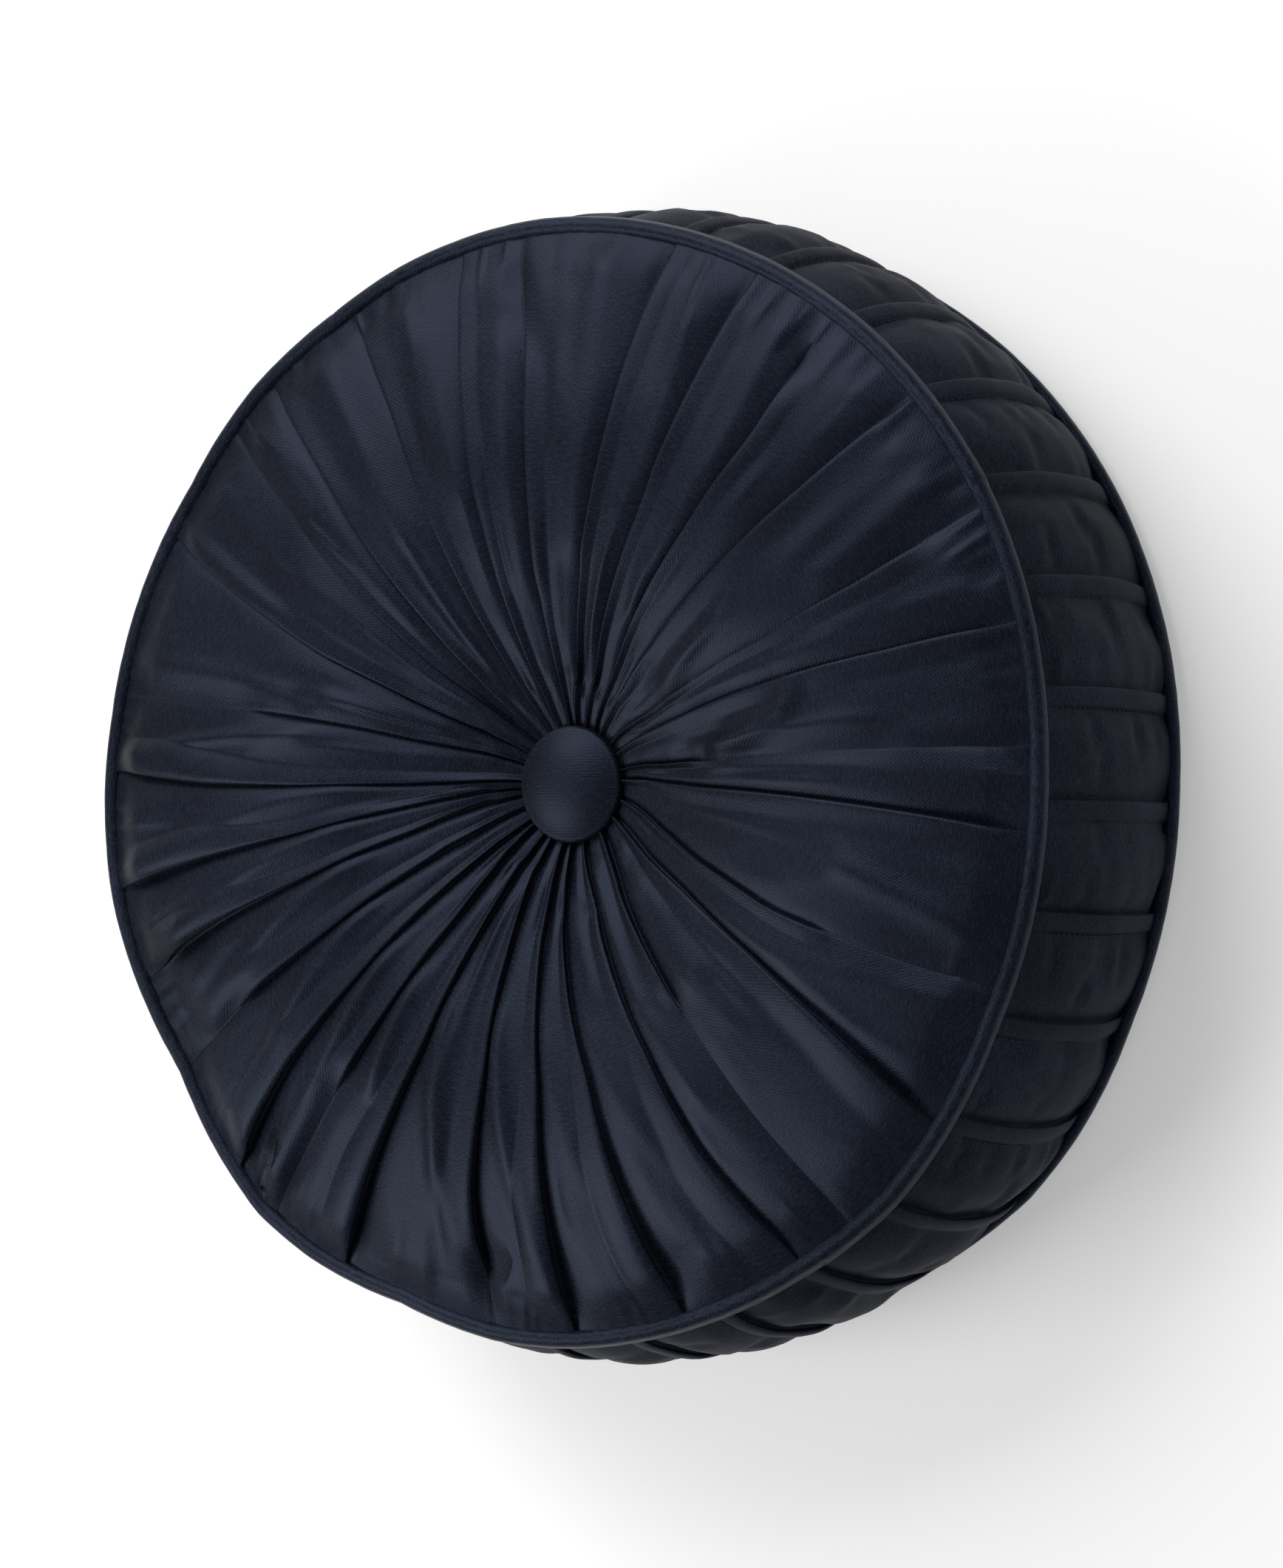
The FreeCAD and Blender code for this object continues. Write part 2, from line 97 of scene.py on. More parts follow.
# How far the band's middle stands further out than the band of the plain model: angle, millimetres.
SWELL = (
    (0, 2), (30, 3.5), (50, 6), (70, 7), (80, 6.5), (90, 4.5), (100, 3.5), (130, 3), (180, 3),
    (230, 4), (262, 6), (275, 7), (290, 8), (305, 8), (320, 6.5), (335, 4), (360, 2),
)
LEAN = 0.35  # how much the upper rim rises and sinks with the outline, as a share of it
LEAN_SHIFT = 40  # degrees by which that lags
CALM_RADIUS, CALM_WIDTH = 0.09, 0.10  # metres: the outline's unevenness fades in over this


def smooth(value):
    """0 below 0, 1 above 1, and level at both ends."""
    value = np.clip(value, 0, 1)
    return value * value * (3 - 2 * value)


def outline_shift(angle, height):
    """How far the cloth wanders outwards and upwards, at an angle and a share of the height."""
    rim, swell = np.array(OUTLINE).T, np.array(SWELL).T
    top = np.interp(angle % 360, rim[0], rim[1])
    rise = np.interp((angle + LEAN_SHIFT) % 360, rim[0], rim[1])
    middle = np.interp(angle % 360, swell[0], swell[1])
    arch = np.sin(np.pi * height) ** 0.8
    return top + middle * arch, LEAN * rise * height ** 2


def bend(points):
    """Shift points in metres with the uneven outline of the stuffed cushion, most at its rim."""
    radius = np.hypot(points[..., 0], points[..., 1])
    angle = np.degrees(np.arctan2(points[..., 1], points[..., 0]))
    height = np.clip((points[..., 2] - BOTTOM_SEAM) / (TOP_SEAM - BOTTOM_SEAM), 0, 1)
    reach = smooth((radius - CALM_RADIUS) / CALM_WIDTH)
    out, rise = outline_shift(angle, height)
    scale = 1 + out * MM * reach / np.maximum(radius, 1e-6)
    bent = points.copy()
    bent[..., 0] *= scale
    bent[..., 1] *= scale
    bent[..., 2] += rise * MM * reach
    return bent


def bend_piece(piece):
    """Bend the finished mesh of one piece."""
    mesh = piece.data
    places = np.empty(len(mesh.vertices) * 3)
    mesh.vertices.foreach_get("co", places)
    mesh.vertices.foreach_set("co", bend(places.reshape(-1, 3)).ravel())
    mesh.update()


# ---- the pleats of a face

CREASE_RADII = (22, 40, 60, 100, 140, 180)
# Each pleat: the angle of its fold edge at those radii, the radius where it dies out, how high its
# fold stands, and how wide the hollow beside it opens towards the piping.
PLEATS = (
    ((14, 8.8, 6.5, 5, 4, 3), 68, 1.2, 0.3),
    ((30, 25.7, 23, 19.5, 17.3, 15.9), 200, 1.0, 0.5),
    ((42, 34.7, 31.2, 28.2, 27.5, 28), 168, 1.0, 0.2),
    ((57, 51.7, 49, 45.6, 43.3, 41.9), 200, 1.0, 0.4),
    ((64.3, 60.3, 59, 55.9, 54, 54.5), 166, 1.0, 0.2),
    ((75, 70.4, 69.2, 66.7, 65.9, 64.8), 200, 1.0, 0.5),
    ((85.5, 81, 79.8, 77.8, 76.8, 75.3), 200, 1.2, 0.9),
    ((92.7, 93.2, 94, 93, 92.7, 94.5), 152, 0.9, 0.3),
    ((106.8, 106.7, 106.5, 105, 103.9, 102.2), 200, 0.9, 0.4),
    ((117, 118, 117.5, 116.6, 116, 117), 182, 0.7, 0.2),
    ((130.5, 131.8, 132, 131.2, 130.2, 130), 200, 0.9, 0.8),
    ((136.5, 138, 139.7, 139.3, 137.7, 137), 138, 0.8, 0.4),
    ((148, 150.5, 152.2, 153.2, 152.2, 151), 200, 1.0, 0.5),
    ((158.5, 162, 164.3, 166.3, 168.3, 169.5), 130, 1.1, 0.5),
    ((175.5, 178, 179.2, 179.7, 179.3, 178), 200, 1.0, 0.3),
    ((182, 184.5, 186.7, 189, 189.8, 190.8), 200, 1.1, 0.6),
    ((188.5, 192, 195.2, 197.8, 199.1, 201), 174, 1.2, 0.7),
    ((200.5, 204.5, 206.8, 209.6, 210.8, 212), 150, 1.2, 0.7),
    ((215, 217, 218.8, 221.3, 222.6, 225), 200, 1.2, 1.0),
    ((221.5, 227, 229.5, 230.8, 231.3, 231.5), 134, 1.3, 0.9),
    ((236, 238.3, 239.7, 241.8, 241.8, 242.2), 200, 1.2, 0.8),
    ((245.5, 249.8, 253, 257, 258.6, 262), 172, 1.2, 1.0),
    ((260, 263.8, 265.8, 269.5, 270.7, 272.5), 200, 1.2, 0.8),
    ((269.5, 272.2, 275.5, 281, 283.3, 286), 200, 1.2, 0.7),
    ((283.5, 288.8, 291.2, 295, 297.3, 301), 200, 1.0, 0.2),
    ((306.5, 304.8, 304.6, 306.2, 307, 308), 98, 1.3, 0.5),
    ((327, 324.8, 325.5, 325.2, 324.2, 322.7), 200, 1.2, 0.4),
    ((345.5, 339.5, 336, 334.8, 336.5, 338), 130, 1.1, 0.3),
    ((364, 359.8, 358.2, 357, 355.7, 354.5), 200, 1.2, 0.8),
)
# Soft rolls of cloth between the pleats: start radius and angle, end radius and angle, half width
# and height in millimetres.
ROLLS = (
    (48, 35.5, 108, 40.5, 3.0, 1.0), (62, 60.5, 95, 62, 2.2, 0.7),
    (44, 72.5, 112, 72.5, 3.2, 0.9), (56, 6.0, 112, 16.5, 5.0, 2.1),
    (118, 31, 186, 33.5, 5.0, 1.0), (112, 56.5, 172, 58.5, 4.0, 0.7),
    (104, 67.5, 172, 69.5, 4.5, 0.9), (70, 80.5, 186, 83, 8.0, 1.6),
    (132, 5, 186, 5, 6.0, 0.9), (60, 97, 160, 97, 8.0, 1.4),
    (92, 106.5, 172, 109, 6.0, 1.0), (90, 122, 186, 123, 7.0, 0.9),
    (38, 155.5, 104, 163, 4.5, 1.8), (96, 162.5, 186, 165.5, 4.5, 1.6),
    (92, 169, 184, 176.5, 2.6, 1.3), (104, 135.5, 140, 136.5, 1.6, 0.8),
    (122, 144.5, 142, 145.2, 1.8, 0.7), (112, 150.5, 186, 149, 3.5, 0.8),
    (36, 312, 100, 314, 9.0, 1.8), (86, 312.5, 120, 314, 2.4, 0.6),
    (88, 317, 122, 319, 2.4, 0.6), (112, 347.5, 186, 341.5, 4.5, 1.5),
    (152, 334, 186, 335, 2.4, 0.7), (158, 349, 186, 348, 2.2, 0.5),
    (84, 299, 134, 301.5, 3.0, 0.5), (44, 283, 84, 286, 5.0, 0.9),
    (150, 306, 184, 308, 3.0, 0.5),
)
# A fold in section, from the clockwise side: how far each point lies from the fold edge and how
# high it is, as shares of the fold's height and of the hollow's depth. The fourth number is
# where the point lies once the fold has died out.
FOLD = (
    (-6.5, 0.22, 0, -6.5),
    (-3.8, 0.58, 0, -3.8),
    (-2.0, 0.88, 0, -2.1),
    (-0.9, 1, 0, -1.1),
    (-0.3, 0.95, 0, -0.6),
    (0, 0.76, 0, -0.25),
    (-0.12, 0.50, 0, 0),
    (-0.9, 0.20, 0.3, 0.25),
    (-1.3, 0, 0.75, 0.5),
    (0.1, 0, 1, 0.9),
    (1.2, 0, 0.62, 1.6),
    (3.0, 0, 0.24, 3.2),
    (6.2, 0, 0.04, 6.2),
)
FOLD_TURN = 8  # the rows of FOLD before this one lie clockwise of the hollow, the others past it
FLAT_COLUMNS = 11  # across the cloth between two folds
FACE_RINGS = 131
FACE_HOLE, FACE_EDGE = 19, 186.3  # inner and outer radius of a face, under the button and the piping
ROOMY_GAP = 27  # a fold is narrower where the next one is nearer than this
PLEAT_CLOTH = 70.0  # cloth from one pleat to the next, for the weave
WADDING = 6.0  # from the smooth face down to the plain underside of the pleated cloth
HUB_RADIUS, HUB_DEPTH = 4, -12.5  # where the cloth is drawn together under the button
UNDER_RADII = (186.0, 181.0, 165.0, 150.0, 115.0, 80.0, 45.0, 24.0, 4.0)  # of the plain underside
FACE_PRESSURE = 3.0
FACE_MOVE = 2.2  # the most that the cloth simulation may move the face
STRONG_GATHERS = ((16, 62), (96, 102), (124, 134), (330, 350))  # from one angle to another


def waves(seed, count, longest, shortest):
    """A smooth repeatable noise of two angles, as a sum of waves, about 1 at its highest."""
    random = np.random.RandomState(seed)
    pace = np.exp(random.uniform(math.log(1 / longest), math.log(1 / shortest), count)) * 2 * math.pi
    heading = random.uniform(0, 2 * math.pi, count)
    phase = random.uniform(0, 2 * math.pi, count)

    def noise(across, along):
        total = np.zeros(np.broadcast(across, along).shape)
        for speed, turn, start in zip(pace, heading, phase):
            total += np.sin(speed * (math.cos(turn) * across + math.sin(turn) * along) + start)
        return total / math.sqrt(count) / 1.5
    return noise


def face_height(radius, crown):
    """Height of a smooth face in millimetres: a dimple under the button, a crown and a round rim."""
    foot, ridge, edge, dimple = 20.5, 115.0, SEAM_RADIUS / MM, 9.0
    slope = np.sin(np.clip((radius - foot) / (ridge - foot), 0, 1) * math.pi / 2)
    inner = -dimple + (crown + dimple) * slope
    outer = crown * (1 - np.clip((radius - ridge) / (edge - ridge), 0, 1) ** 1.9)
    return np.where(radius < ridge, inner, outer)


def plain_height(side, radius):
    """Height of the smooth face at one radius, in millimetres."""
    return float(face_height(np.array(radius), CROWN[side] / MM))


def grid_object(name, points, weave_left, weave_right, caps=(None, None), material=None):
    """A closed-round grid of points [row, column] with cloth coordinates for both sides of a column."""
    rows, columns, _ = points.shape
    vertices = points.reshape(-1, 3)
    column = np.arange(columns)
    after = (column + 1) % columns
    quads, weave = [], []
    for row in range(rows - 1):
        low, high = row * columns, (row + 1) * columns
        quads.append(np.stack([low + column, high + column, high + after, low + after], -1))
        weave.append(np.stack([weave_left[row], weave_left[row + 1],
                               weave_right[row + 1, after], weave_right[row, after]], 1))
    quads = np.concatenate(quads)
    weave = np.concatenate(weave).reshape(-1, 2)
    faces = quads.tolist()
    extra = []
    for cap, row, turned in ((caps[0], 0, False), (caps[1], rows - 1, True)):
        if cap is None:
            continue
        centre = len(vertices)
        vertices = np.concatenate([vertices, np.array([cap])])
        for index in range(columns):
            pair = (row * columns + index, row * columns + (index + 1) % columns)
            faces.append([centre, *(pair[::-1] if turned else pair)])
            extra += [(0.0, 0.0)] * 3
    mesh = bpy.data.meshes.new(name)
    mesh.from_pydata(vertices.tolist(), [], faces)
    layer = mesh.uv_layers.new(name="weave")
    flat = np.concatenate([weave, np.array(extra).reshape(-1, 2)])
    layer.data.foreach_set("uv", flat.ravel())
    mesh.polygons.foreach_set("use_smooth", [True] * len(mesh.polygons))
    mesh.update()
    if material:
        mesh.materials.append(material)
    return placed_object(name, mesh)


def placed_object(name, data):
    """A new object in the scene."""
    piece = bpy.data.objects.new(name, data)
    bpy.context.scene.collection.objects.link(piece)
    return piece


def crease_angles(radii, spin):
    """Fold-edge angles in degrees [radius, pleat], interpolated smoothly between the given radii."""
    reach = 7
    window = np.hanning(2 * reach + 1)
    angles = []
    for given, _, _, _ in PLEATS:
        line = np.pad(np.interp(radii, CREASE_RADII, given), reach, mode="edge")
        angles.append(np.convolve(line, window / window.sum(), "valid") + spin)
    return np.array(angles).T


def fold_strength(radii, end):
    """How much of a fold is left at each radius."""
    return 1 - smooth((radii - (end - 16)) / 18)


def zones(radii):
    """How much a radius is near the button, in the outer half, and at the rim, from 0 to 1."""
    near = 1 - smooth((radii - 26) / 60)
    outer = smooth((radii - 95) / 70)
    rim = smooth((radii - 140) / 38)
    return near, outer, rim


def boldness(pleat):
    """1 for the high folds of the photograph's lower left, 0 for the others, from a pleat's angle."""
    angle = pleat[0][4]
    return float(smooth((angle - 160) / 20) * (1 - smooth((angle - 322) / 15)))


def fold_height(bold, near, outer):
    """How high a fold stands, in millimetres."""
    return 1.35 + 0.45 * near + (0.4 + 1.4 * bold) * outer


def fold_columns(index, radii, gap, here, there):
    """How far the columns from one fold to the next lie past its edge, and how high they stand."""
    near, outer, rim = zones(radii)
    bold_here, bold_there = boldness(PLEATS[index]), boldness(PLEATS[(index + 1) % len(PLEATS)])
    opening = PLEATS[index][3]
    squeeze = np.minimum(1, gap / ROOMY_GAP)
    wide = 1 + (2.2 * rim + 0.5 * near) * opening
    depth = 1.15 + 0.25 * near
    high = fold_height(bold_here, near, outer)
    offsets, lifts = [], []
    for place, share, hollow, flat in FOLD[FOLD_TURN:]:
        offsets.append((flat + (place * wide - flat) * np.minimum(here, 1)) * squeeze)
        lifts.append(high * share * here - depth * hollow * here * (0.7 + 1.0 * opening * rim))
    broad = 1 + 0.9 * bold_there * outer
    start, stop = offsets[-1], gap + FOLD[0][0] * squeeze * broad
    for step in range(1, FLAT_COLUMNS + 1):
        offsets.append(start + (stop - start) * step / (FLAT_COLUMNS + 1))
        lifts.append(np.zeros(len(radii)))
    high = fold_height(bold_there, near, outer)
    for place, share, hollow, flat in FOLD[:FOLD_TURN]:
        offsets.append(gap + (flat + (place - flat) * np.minimum(there, 1)) * squeeze * broad)
        lifts.append(high * share * there - depth * hollow * there)
    return np.array(offsets), np.array(lifts)


def swelling(index, radii, gap, offsets, here, there):
    """The stuffed cloth between two folds, fullest in its middle."""
    near, outer, rim = zones(radii)
    full = (0.95 + 0.9 * rim + 0.3 * near) * (1 + 0.45 * boldness(PLEATS[index]) * outer)
    share = np.clip(offsets / gap, 0, 1)
    return np.sin(math.pi * share) ** 0.8 * full * np.maximum(here, there) * np.minimum(1, gap / 20)


def drifting_roll(radii, gap, offsets, here, middle):
    """A soft roll that crosses from one fold to the next on its way out, highest at the lower left."""
    drift = smooth((radii - 78) / 95)
    across = offsets - gap * (0.16 + 0.68 * drift)
    lower_left = smooth((middle - 165) / 20) * (1 - smooth((middle - 262) / 14))
    height = (0.35 + 1.25 * lower_left) * smooth((radii - 70) / 25)
    return height * np.exp(-(across / (2.2 + 0.018 * radii)) ** 2) * np.maximum(here, 0.35)


def pleated_face(side, spin, seed):
    """Points of one pleated face [ring, column] in millimetres, with cloth coordinates."""
    radii = FACE_HOLE + (FACE_EDGE - FACE_HOLE) * np.linspace(0, 1, FACE_RINGS) ** 0.94
    creases = crease_angles(radii, spin)
    following = np.roll(creases, -1, axis=1)
    following[:, -1] += 360
    strength = np.array([fold_strength(radii, end) * height for _, end, height, _ in PLEATS]).T
    random = np.random.RandomState(seed + 20)
    angle_columns, lift_columns, weave_columns = [], [], []
    for index in range(len(PLEATS)):
        gap = (following[:, index] - creases[:, index]) * math.pi / 180 * radii
        here, there = strength[:, index], strength[:, (index + 1) % len(PLEATS)]
        middle = creases[:, index] + gap / radii * 90 / math.pi - spin
        offsets, lifts = fold_columns(index, radii, gap, here, there)
        lifts += swelling(index, radii, gap, offsets, here, there)
        lifts += drifting_roll(radii, gap, offsets, here, middle)
        lifts += pull_lines(random, radii, offsets, gap, middle[60])
        angle_columns.append(creases[:, index] + offsets / radii * 180 / math.pi)
        lift_columns.append(lifts)
        local = (offsets - gap / 2 + PLEAT_CLOTH * index) * MM
        weave_columns.append(np.stack([local, np.broadcast_to(radii * MM, local.shape)], -1))
    angles = np.concatenate(angle_columns).T
    lifts = np.concatenate(lift_columns).T
    weave = np.concatenate(weave_columns).transpose(1, 0, 2)

    radius, turned = radii[:, None], np.radians(angles)
    east, north = radius * np.cos(turned), radius * np.sin(turned)
    dents, ribs = waves(seed, 24, 90, 26), waves(seed + 1, 30, 12, 4)
    lifts += rolls_between(radii, angles - spin)
    lifts += 0.13 * dents(east, north)
    lifts += 0.05 * ribs(angles, radius / 26) * smooth((radius - 30) / 40)
    inside = 0.2 + 0.8 * smooth((187.2 - radius) / 17)
    gathers = rim_puckers(radii, angles - spin, seed) * smooth((188.5 - radius) / 6)
    total = face_height(radii, CROWN[side] / MM)[:, None] + lifts * inside + gathers
    return np.stack([east, north, total], -1), weave


def pull_lines(random, radii, offsets, gap, angle):
    """Narrow strained ridges along a pleat, from near the button outwards or from the rim inwards."""
    total = np.zeros(offsets.shape)
    lively = 0.75 if 150 < angle % 360 < 300 else 0.85
    for _ in range(1 + int(gap[80] / 6.5)):
        share, width = random.uniform(0.1, 0.92), random.uniform(1.3, 3.4)
        height, wander = random.uniform(0.25, 0.75) * lively, random.uniform(-0.12, 0.12)
        if random.rand() < 0.55:
            start, end = random.uniform(34, 70), random.uniform(90, 150)
        else:
            start, end = random.uniform(95, 150), 215.0
        centre = gap * np.clip(share + wander * (radii - 110) / 80, 0.06, 0.95)
        ends = smooth((radii - start) / 22) * smooth((end - radii) / 30)
        total += height * ends * np.exp(-((offsets - centre) / (width * (0.5 + radii / 200))) ** 2)
    return total


def arc_from(centre, angles, radius):
    """The way along the ring from one angle to others, in millimetres."""
    return ((angles - centre + 180) % 360 - 180) * math.pi / 180 * radius


def rolls_between(radii, angles):
    """The soft rolls of cloth listed above."""
    total = np.zeros(angles.shape)
    radius = radii[:, None]
    for start, first, end, last, width, height in ROLLS:
        share = (radius - start) / (end - start)
        centre = first + (last - first) * share
        away = arc_from(centre, angles, radius)
        ends = smooth((radius - start) / 14) * smooth((end - radius) / 14 + (end > 180) * 2)
        total += height * ends * np.exp(-(away / width) ** 2)
    return total


def rim_puckers(radii, angles, seed):
    """Short gathers where the cloth is eased into the seam."""
    random = np.random.RandomState(seed + 7)
    radius = radii[:, None]
    total = np.zeros(angles.shape)
    place = 0.0
    while place < 360:
        strong = any(low < place < high for low, high in STRONG_GATHERS)
        height = random.uniform(0.35, 0.9) * (1.5 if strong else 0.7)
        width = random.uniform(0.9, 2.0)
        reach = random.uniform(158, 172)
        lean = random.uniform(-0.06, 0.06)
        centre = place + lean * (radius - 185)
        away = arc_from(centre, angles, radius)
        total += height * smooth((radius - reach) / 14) * np.exp(-(away / width) ** 2)
        place += random.uniform(1.3, 3.2)
    return total


def inflate(points, pinned, pressure, cap, frames=14):
    """Cloth-simulate a coarse copy of a grid under pressure from below and return how it moved."""
    rows, columns, _ = points.shape
    row_step, column_step = 3, 5
    row_picks = np.unique(np.append(np.arange(0, rows, row_step), rows - 1))
    column_picks = np.arange(0, columns, column_step)
    coarse = points[np.ix_(row_picks, column_picks)]
    held = pinned[np.ix_(row_picks, column_picks)]
    shape = coarse.shape[:2]
    flat = np.zeros(shape + (2,))
    piece = grid_object("cloth_trial", coarse * MM, flat, flat)
    group = piece.vertex_groups.new(name="held")
    for index, weight in enumerate(held.ravel()):
        group.add([index], float(weight), "REPLACE")
    cloth = piece.modifiers.new("cloth", "CLOTH")
    cloth.settings.vertex_group_mass = "held"
    cloth.settings.effector_weights.gravity = 0
    cloth.settings.use_pressure = True
    cloth.settings.uniform_pressure_force = pressure
    cloth.settings.shrink_min = -0.05
    cloth.settings.quality = 5
    cloth.settings.bending_stiffness = 0.4
    cloth.point_cache.frame_start = 1
    cloth.point_cache.frame_end = frames
    for number in range(1, frames + 1):
        bpy.context.scene.frame_set(number)
    solved = piece.evaluated_get(bpy.context.evaluated_depsgraph_get()).data
    moved = np.empty(shape[0] * shape[1] * 3)
    solved.vertices.foreach_get("co", moved)
    moved = moved.reshape(shape + (3,)) / MM - coarse
    bpy.data.objects.remove(piece)
    bpy.context.scene.frame_set(1)
    length = np.linalg.norm(moved, axis=-1, keepdims=True)
    moved = moved * cap * np.tanh(length / cap) / np.maximum(length, 1e-9)
    return spread(moved, row_picks, column_picks, rows, columns)


def spread(field, row_picks, column_picks, rows, columns):
    """Interpolate a coarse field back to the whole grid, whose columns go right round."""
    whole = np.empty((len(row_picks), columns, 3))
    wrapped = np.append(column_picks, columns)
    for row in range(len(row_picks)):
        for axis in range(3):
            values = np.append(field[row, :, axis], field[row, 0, axis])
            whole[row, :, axis] = np.interp(np.arange(columns), wrapped, values)
    full = np.empty((rows, columns, 3))
    for column in range(columns):
        for axis in range(3):
            full[:, column, axis] = np.interp(np.arange(rows), row_picks, whole[:, column, axis])
    return full


def face_piece(side, spin, seed, material):
    """A pleated face as a closed form: the pleated cloth above and a plain underside in the fill."""
    points, weave = pleated_face(side, spin, seed)
    radii = np.linalg.norm(points[..., :2], axis=-1)
    angles = np.arctan2(points[..., 1], points[..., 0])
    held = (radii < 30) | (radii > 182)
    calm = smooth((184.5 - radii) / 22)[..., None]
    moved = inflate(points, held, FACE_PRESSURE, FACE_MOVE)
    moved[..., 2] -= moved[..., 2].mean(axis=1, keepdims=True)
    points += 0.7 * moved * calm
    under = []
    for radius in UNDER_RADII:
        depth = 0.6 if radius > 185 else WADDING
        height = plain_height(side, radius) - depth
        under.append(level_ring(radius, angles[-1], height))
    hub = level_ring(HUB_RADIUS, angles[0], HUB_DEPTH)
    full = np.concatenate([hub[None], points, np.array(under)])
    weave = np.concatenate([weave[:1], weave, np.repeat(weave[-1:], len(under), axis=0)])
    weave_right = weave.copy()
    starts = np.arange(0, weave.shape[1], len(FOLD) + FLAT_COLUMNS)
    weave_right[:, starts, 0] = weave[:, starts - 1, 0] + 1 * MM
    caps = [(0, 0, HUB_DEPTH), (0, 0, float(under[-1][0, 2]))]
    turn = 1 if side == "top" else -1
    placed = np.stack([full[..., 0], turn * full[..., 1], turn * full[..., 2]], -1) * MM
    placed[..., 2] += SEAM[side]
    caps = [(x * MM, y * MM, SEAM[side] + turn * z * MM) for x, y, z in caps]
    piece = grid_object(f"pleated_face_{side}", placed, weave, weave_right, caps, material)
    bend_piece(piece)
    if side == "bottom":
        rest_on_floor(piece)
    return piece


def level_ring(radius, angles, height):
    """A ring of points at one height."""
    heights = np.full(angles.shape, height)
    return np.stack([radius * np.cos(angles), radius * np.sin(angles), heights], -1)


def rest_on_floor(piece):
    """Press softly flat what would reach into the surface below."""
    room = 0.0012
    for vertex in piece.data.vertices:
        if vertex.co.z < 2 * room:
            vertex.co.z = room * (1 + math.tanh((vertex.co.z - room) / room))


# ---- the band

TUCKS = 32
FIRST_FOLD = -2.2  # angle of the first fold edge
# The band across one tuck, in millimetres from the fold edge: place and height.
TUCK = (
    (-9.5, -0.35), (-8.0, -0.6), (-7.2, -0.8), (-6.8, -0.4), (-6.3, 0.4), (-5.4, 0.95), (-4.0, 1.3),
    (-2.4, 1.5), (-1.1, 1.5), (-0.4, 1.3), (0.0, 0.9), (-0.15, 0.4), (-1.0, 0.0), (-1.3, -0.9),
    (0.3, -1.3), (1.6, -0.9), (3.2, -0.4),
)
BAND_FLAT = 11  # columns across the cloth between two tucks
BAND_ROWS = 72
BAND_ARC = 189.5  # millimetres along the band for one radian
BAND_PRESSURE = 3.0
BAND_MOVE = 0.9  # the most that the cloth simulation may move the band
STITCH_PITCH, STITCH_HALF, STITCH_THICK = 3.1, 1.15, 0.2
STITCH_BACK = 7.3  # from a tuck's fold edge to its row of stitches
# Along half a stitch, and how thick it is there.
STITCH_SECTIONS = ((-1, 0.25), (-0.75, 0.85), (0, 1.0), (0.75, 0.85), (1, 0.25))
STITCH_CORNERS = 6


def band_profile(height):
    """Radius of the band in millimetres at a height above its middle."""
    share = np.clip(np.abs(height) / (BAND_HALF / MM), 0, 1)
    edge = SEAM_RADIUS / MM - 1.6
    return edge + (BAND_BULGE / MM - 0.8) * (1 - share ** 2.4)


def tuck_section(size, width):
    """Places and heights across one tuck and the puffed cloth up to the next."""
    section = [(place, lift * (size if lift > 0 else 1)) for place, lift in TUCK]
    start, end = TUCK[-1][0], width + TUCK[0][0]
    for step in range(1, BAND_FLAT + 1):
        part = step / (BAND_FLAT + 1)
        puff = -0.35 + 1.5 * size * math.sin(math.pi * part) ** 0.75
        section.append((start + (end - start) * part, puff))
    return section


def band_columns(share, random):
    """Angles, heights and cloth of the band [row, column], and which columns are at a tuck's root."""
    pitch = 360 / TUCKS
    width = math.radians(pitch) * BAND_ARC
    near_seam = 0.45 + 0.55 * (1 - np.abs(share) ** 5)
    angles, lifts, cloth, roots = [], [], [], []
    for index in range(TUCKS):
        lean = random.uniform(-0.5, 0.5)
        bow = random.uniform(-0.5, 0.5)
        size = random.uniform(0.8, 1.2)
        shift = lean * share + bow * (1 - share ** 2)
        for place, lift in tuck_section(size, width):
            angles.append(FIRST_FOLD + pitch * index + (place + shift) / BAND_ARC * 180 / math.pi)
            lifts.append(lift * near_seam)
            cloth.append(np.full(len(share), (place + width * index) * MM))
            roots.append(-9 < place < 2)
    return np.array(angles).T, np.array(lifts).T, np.array(cloth).T, np.array(roots)


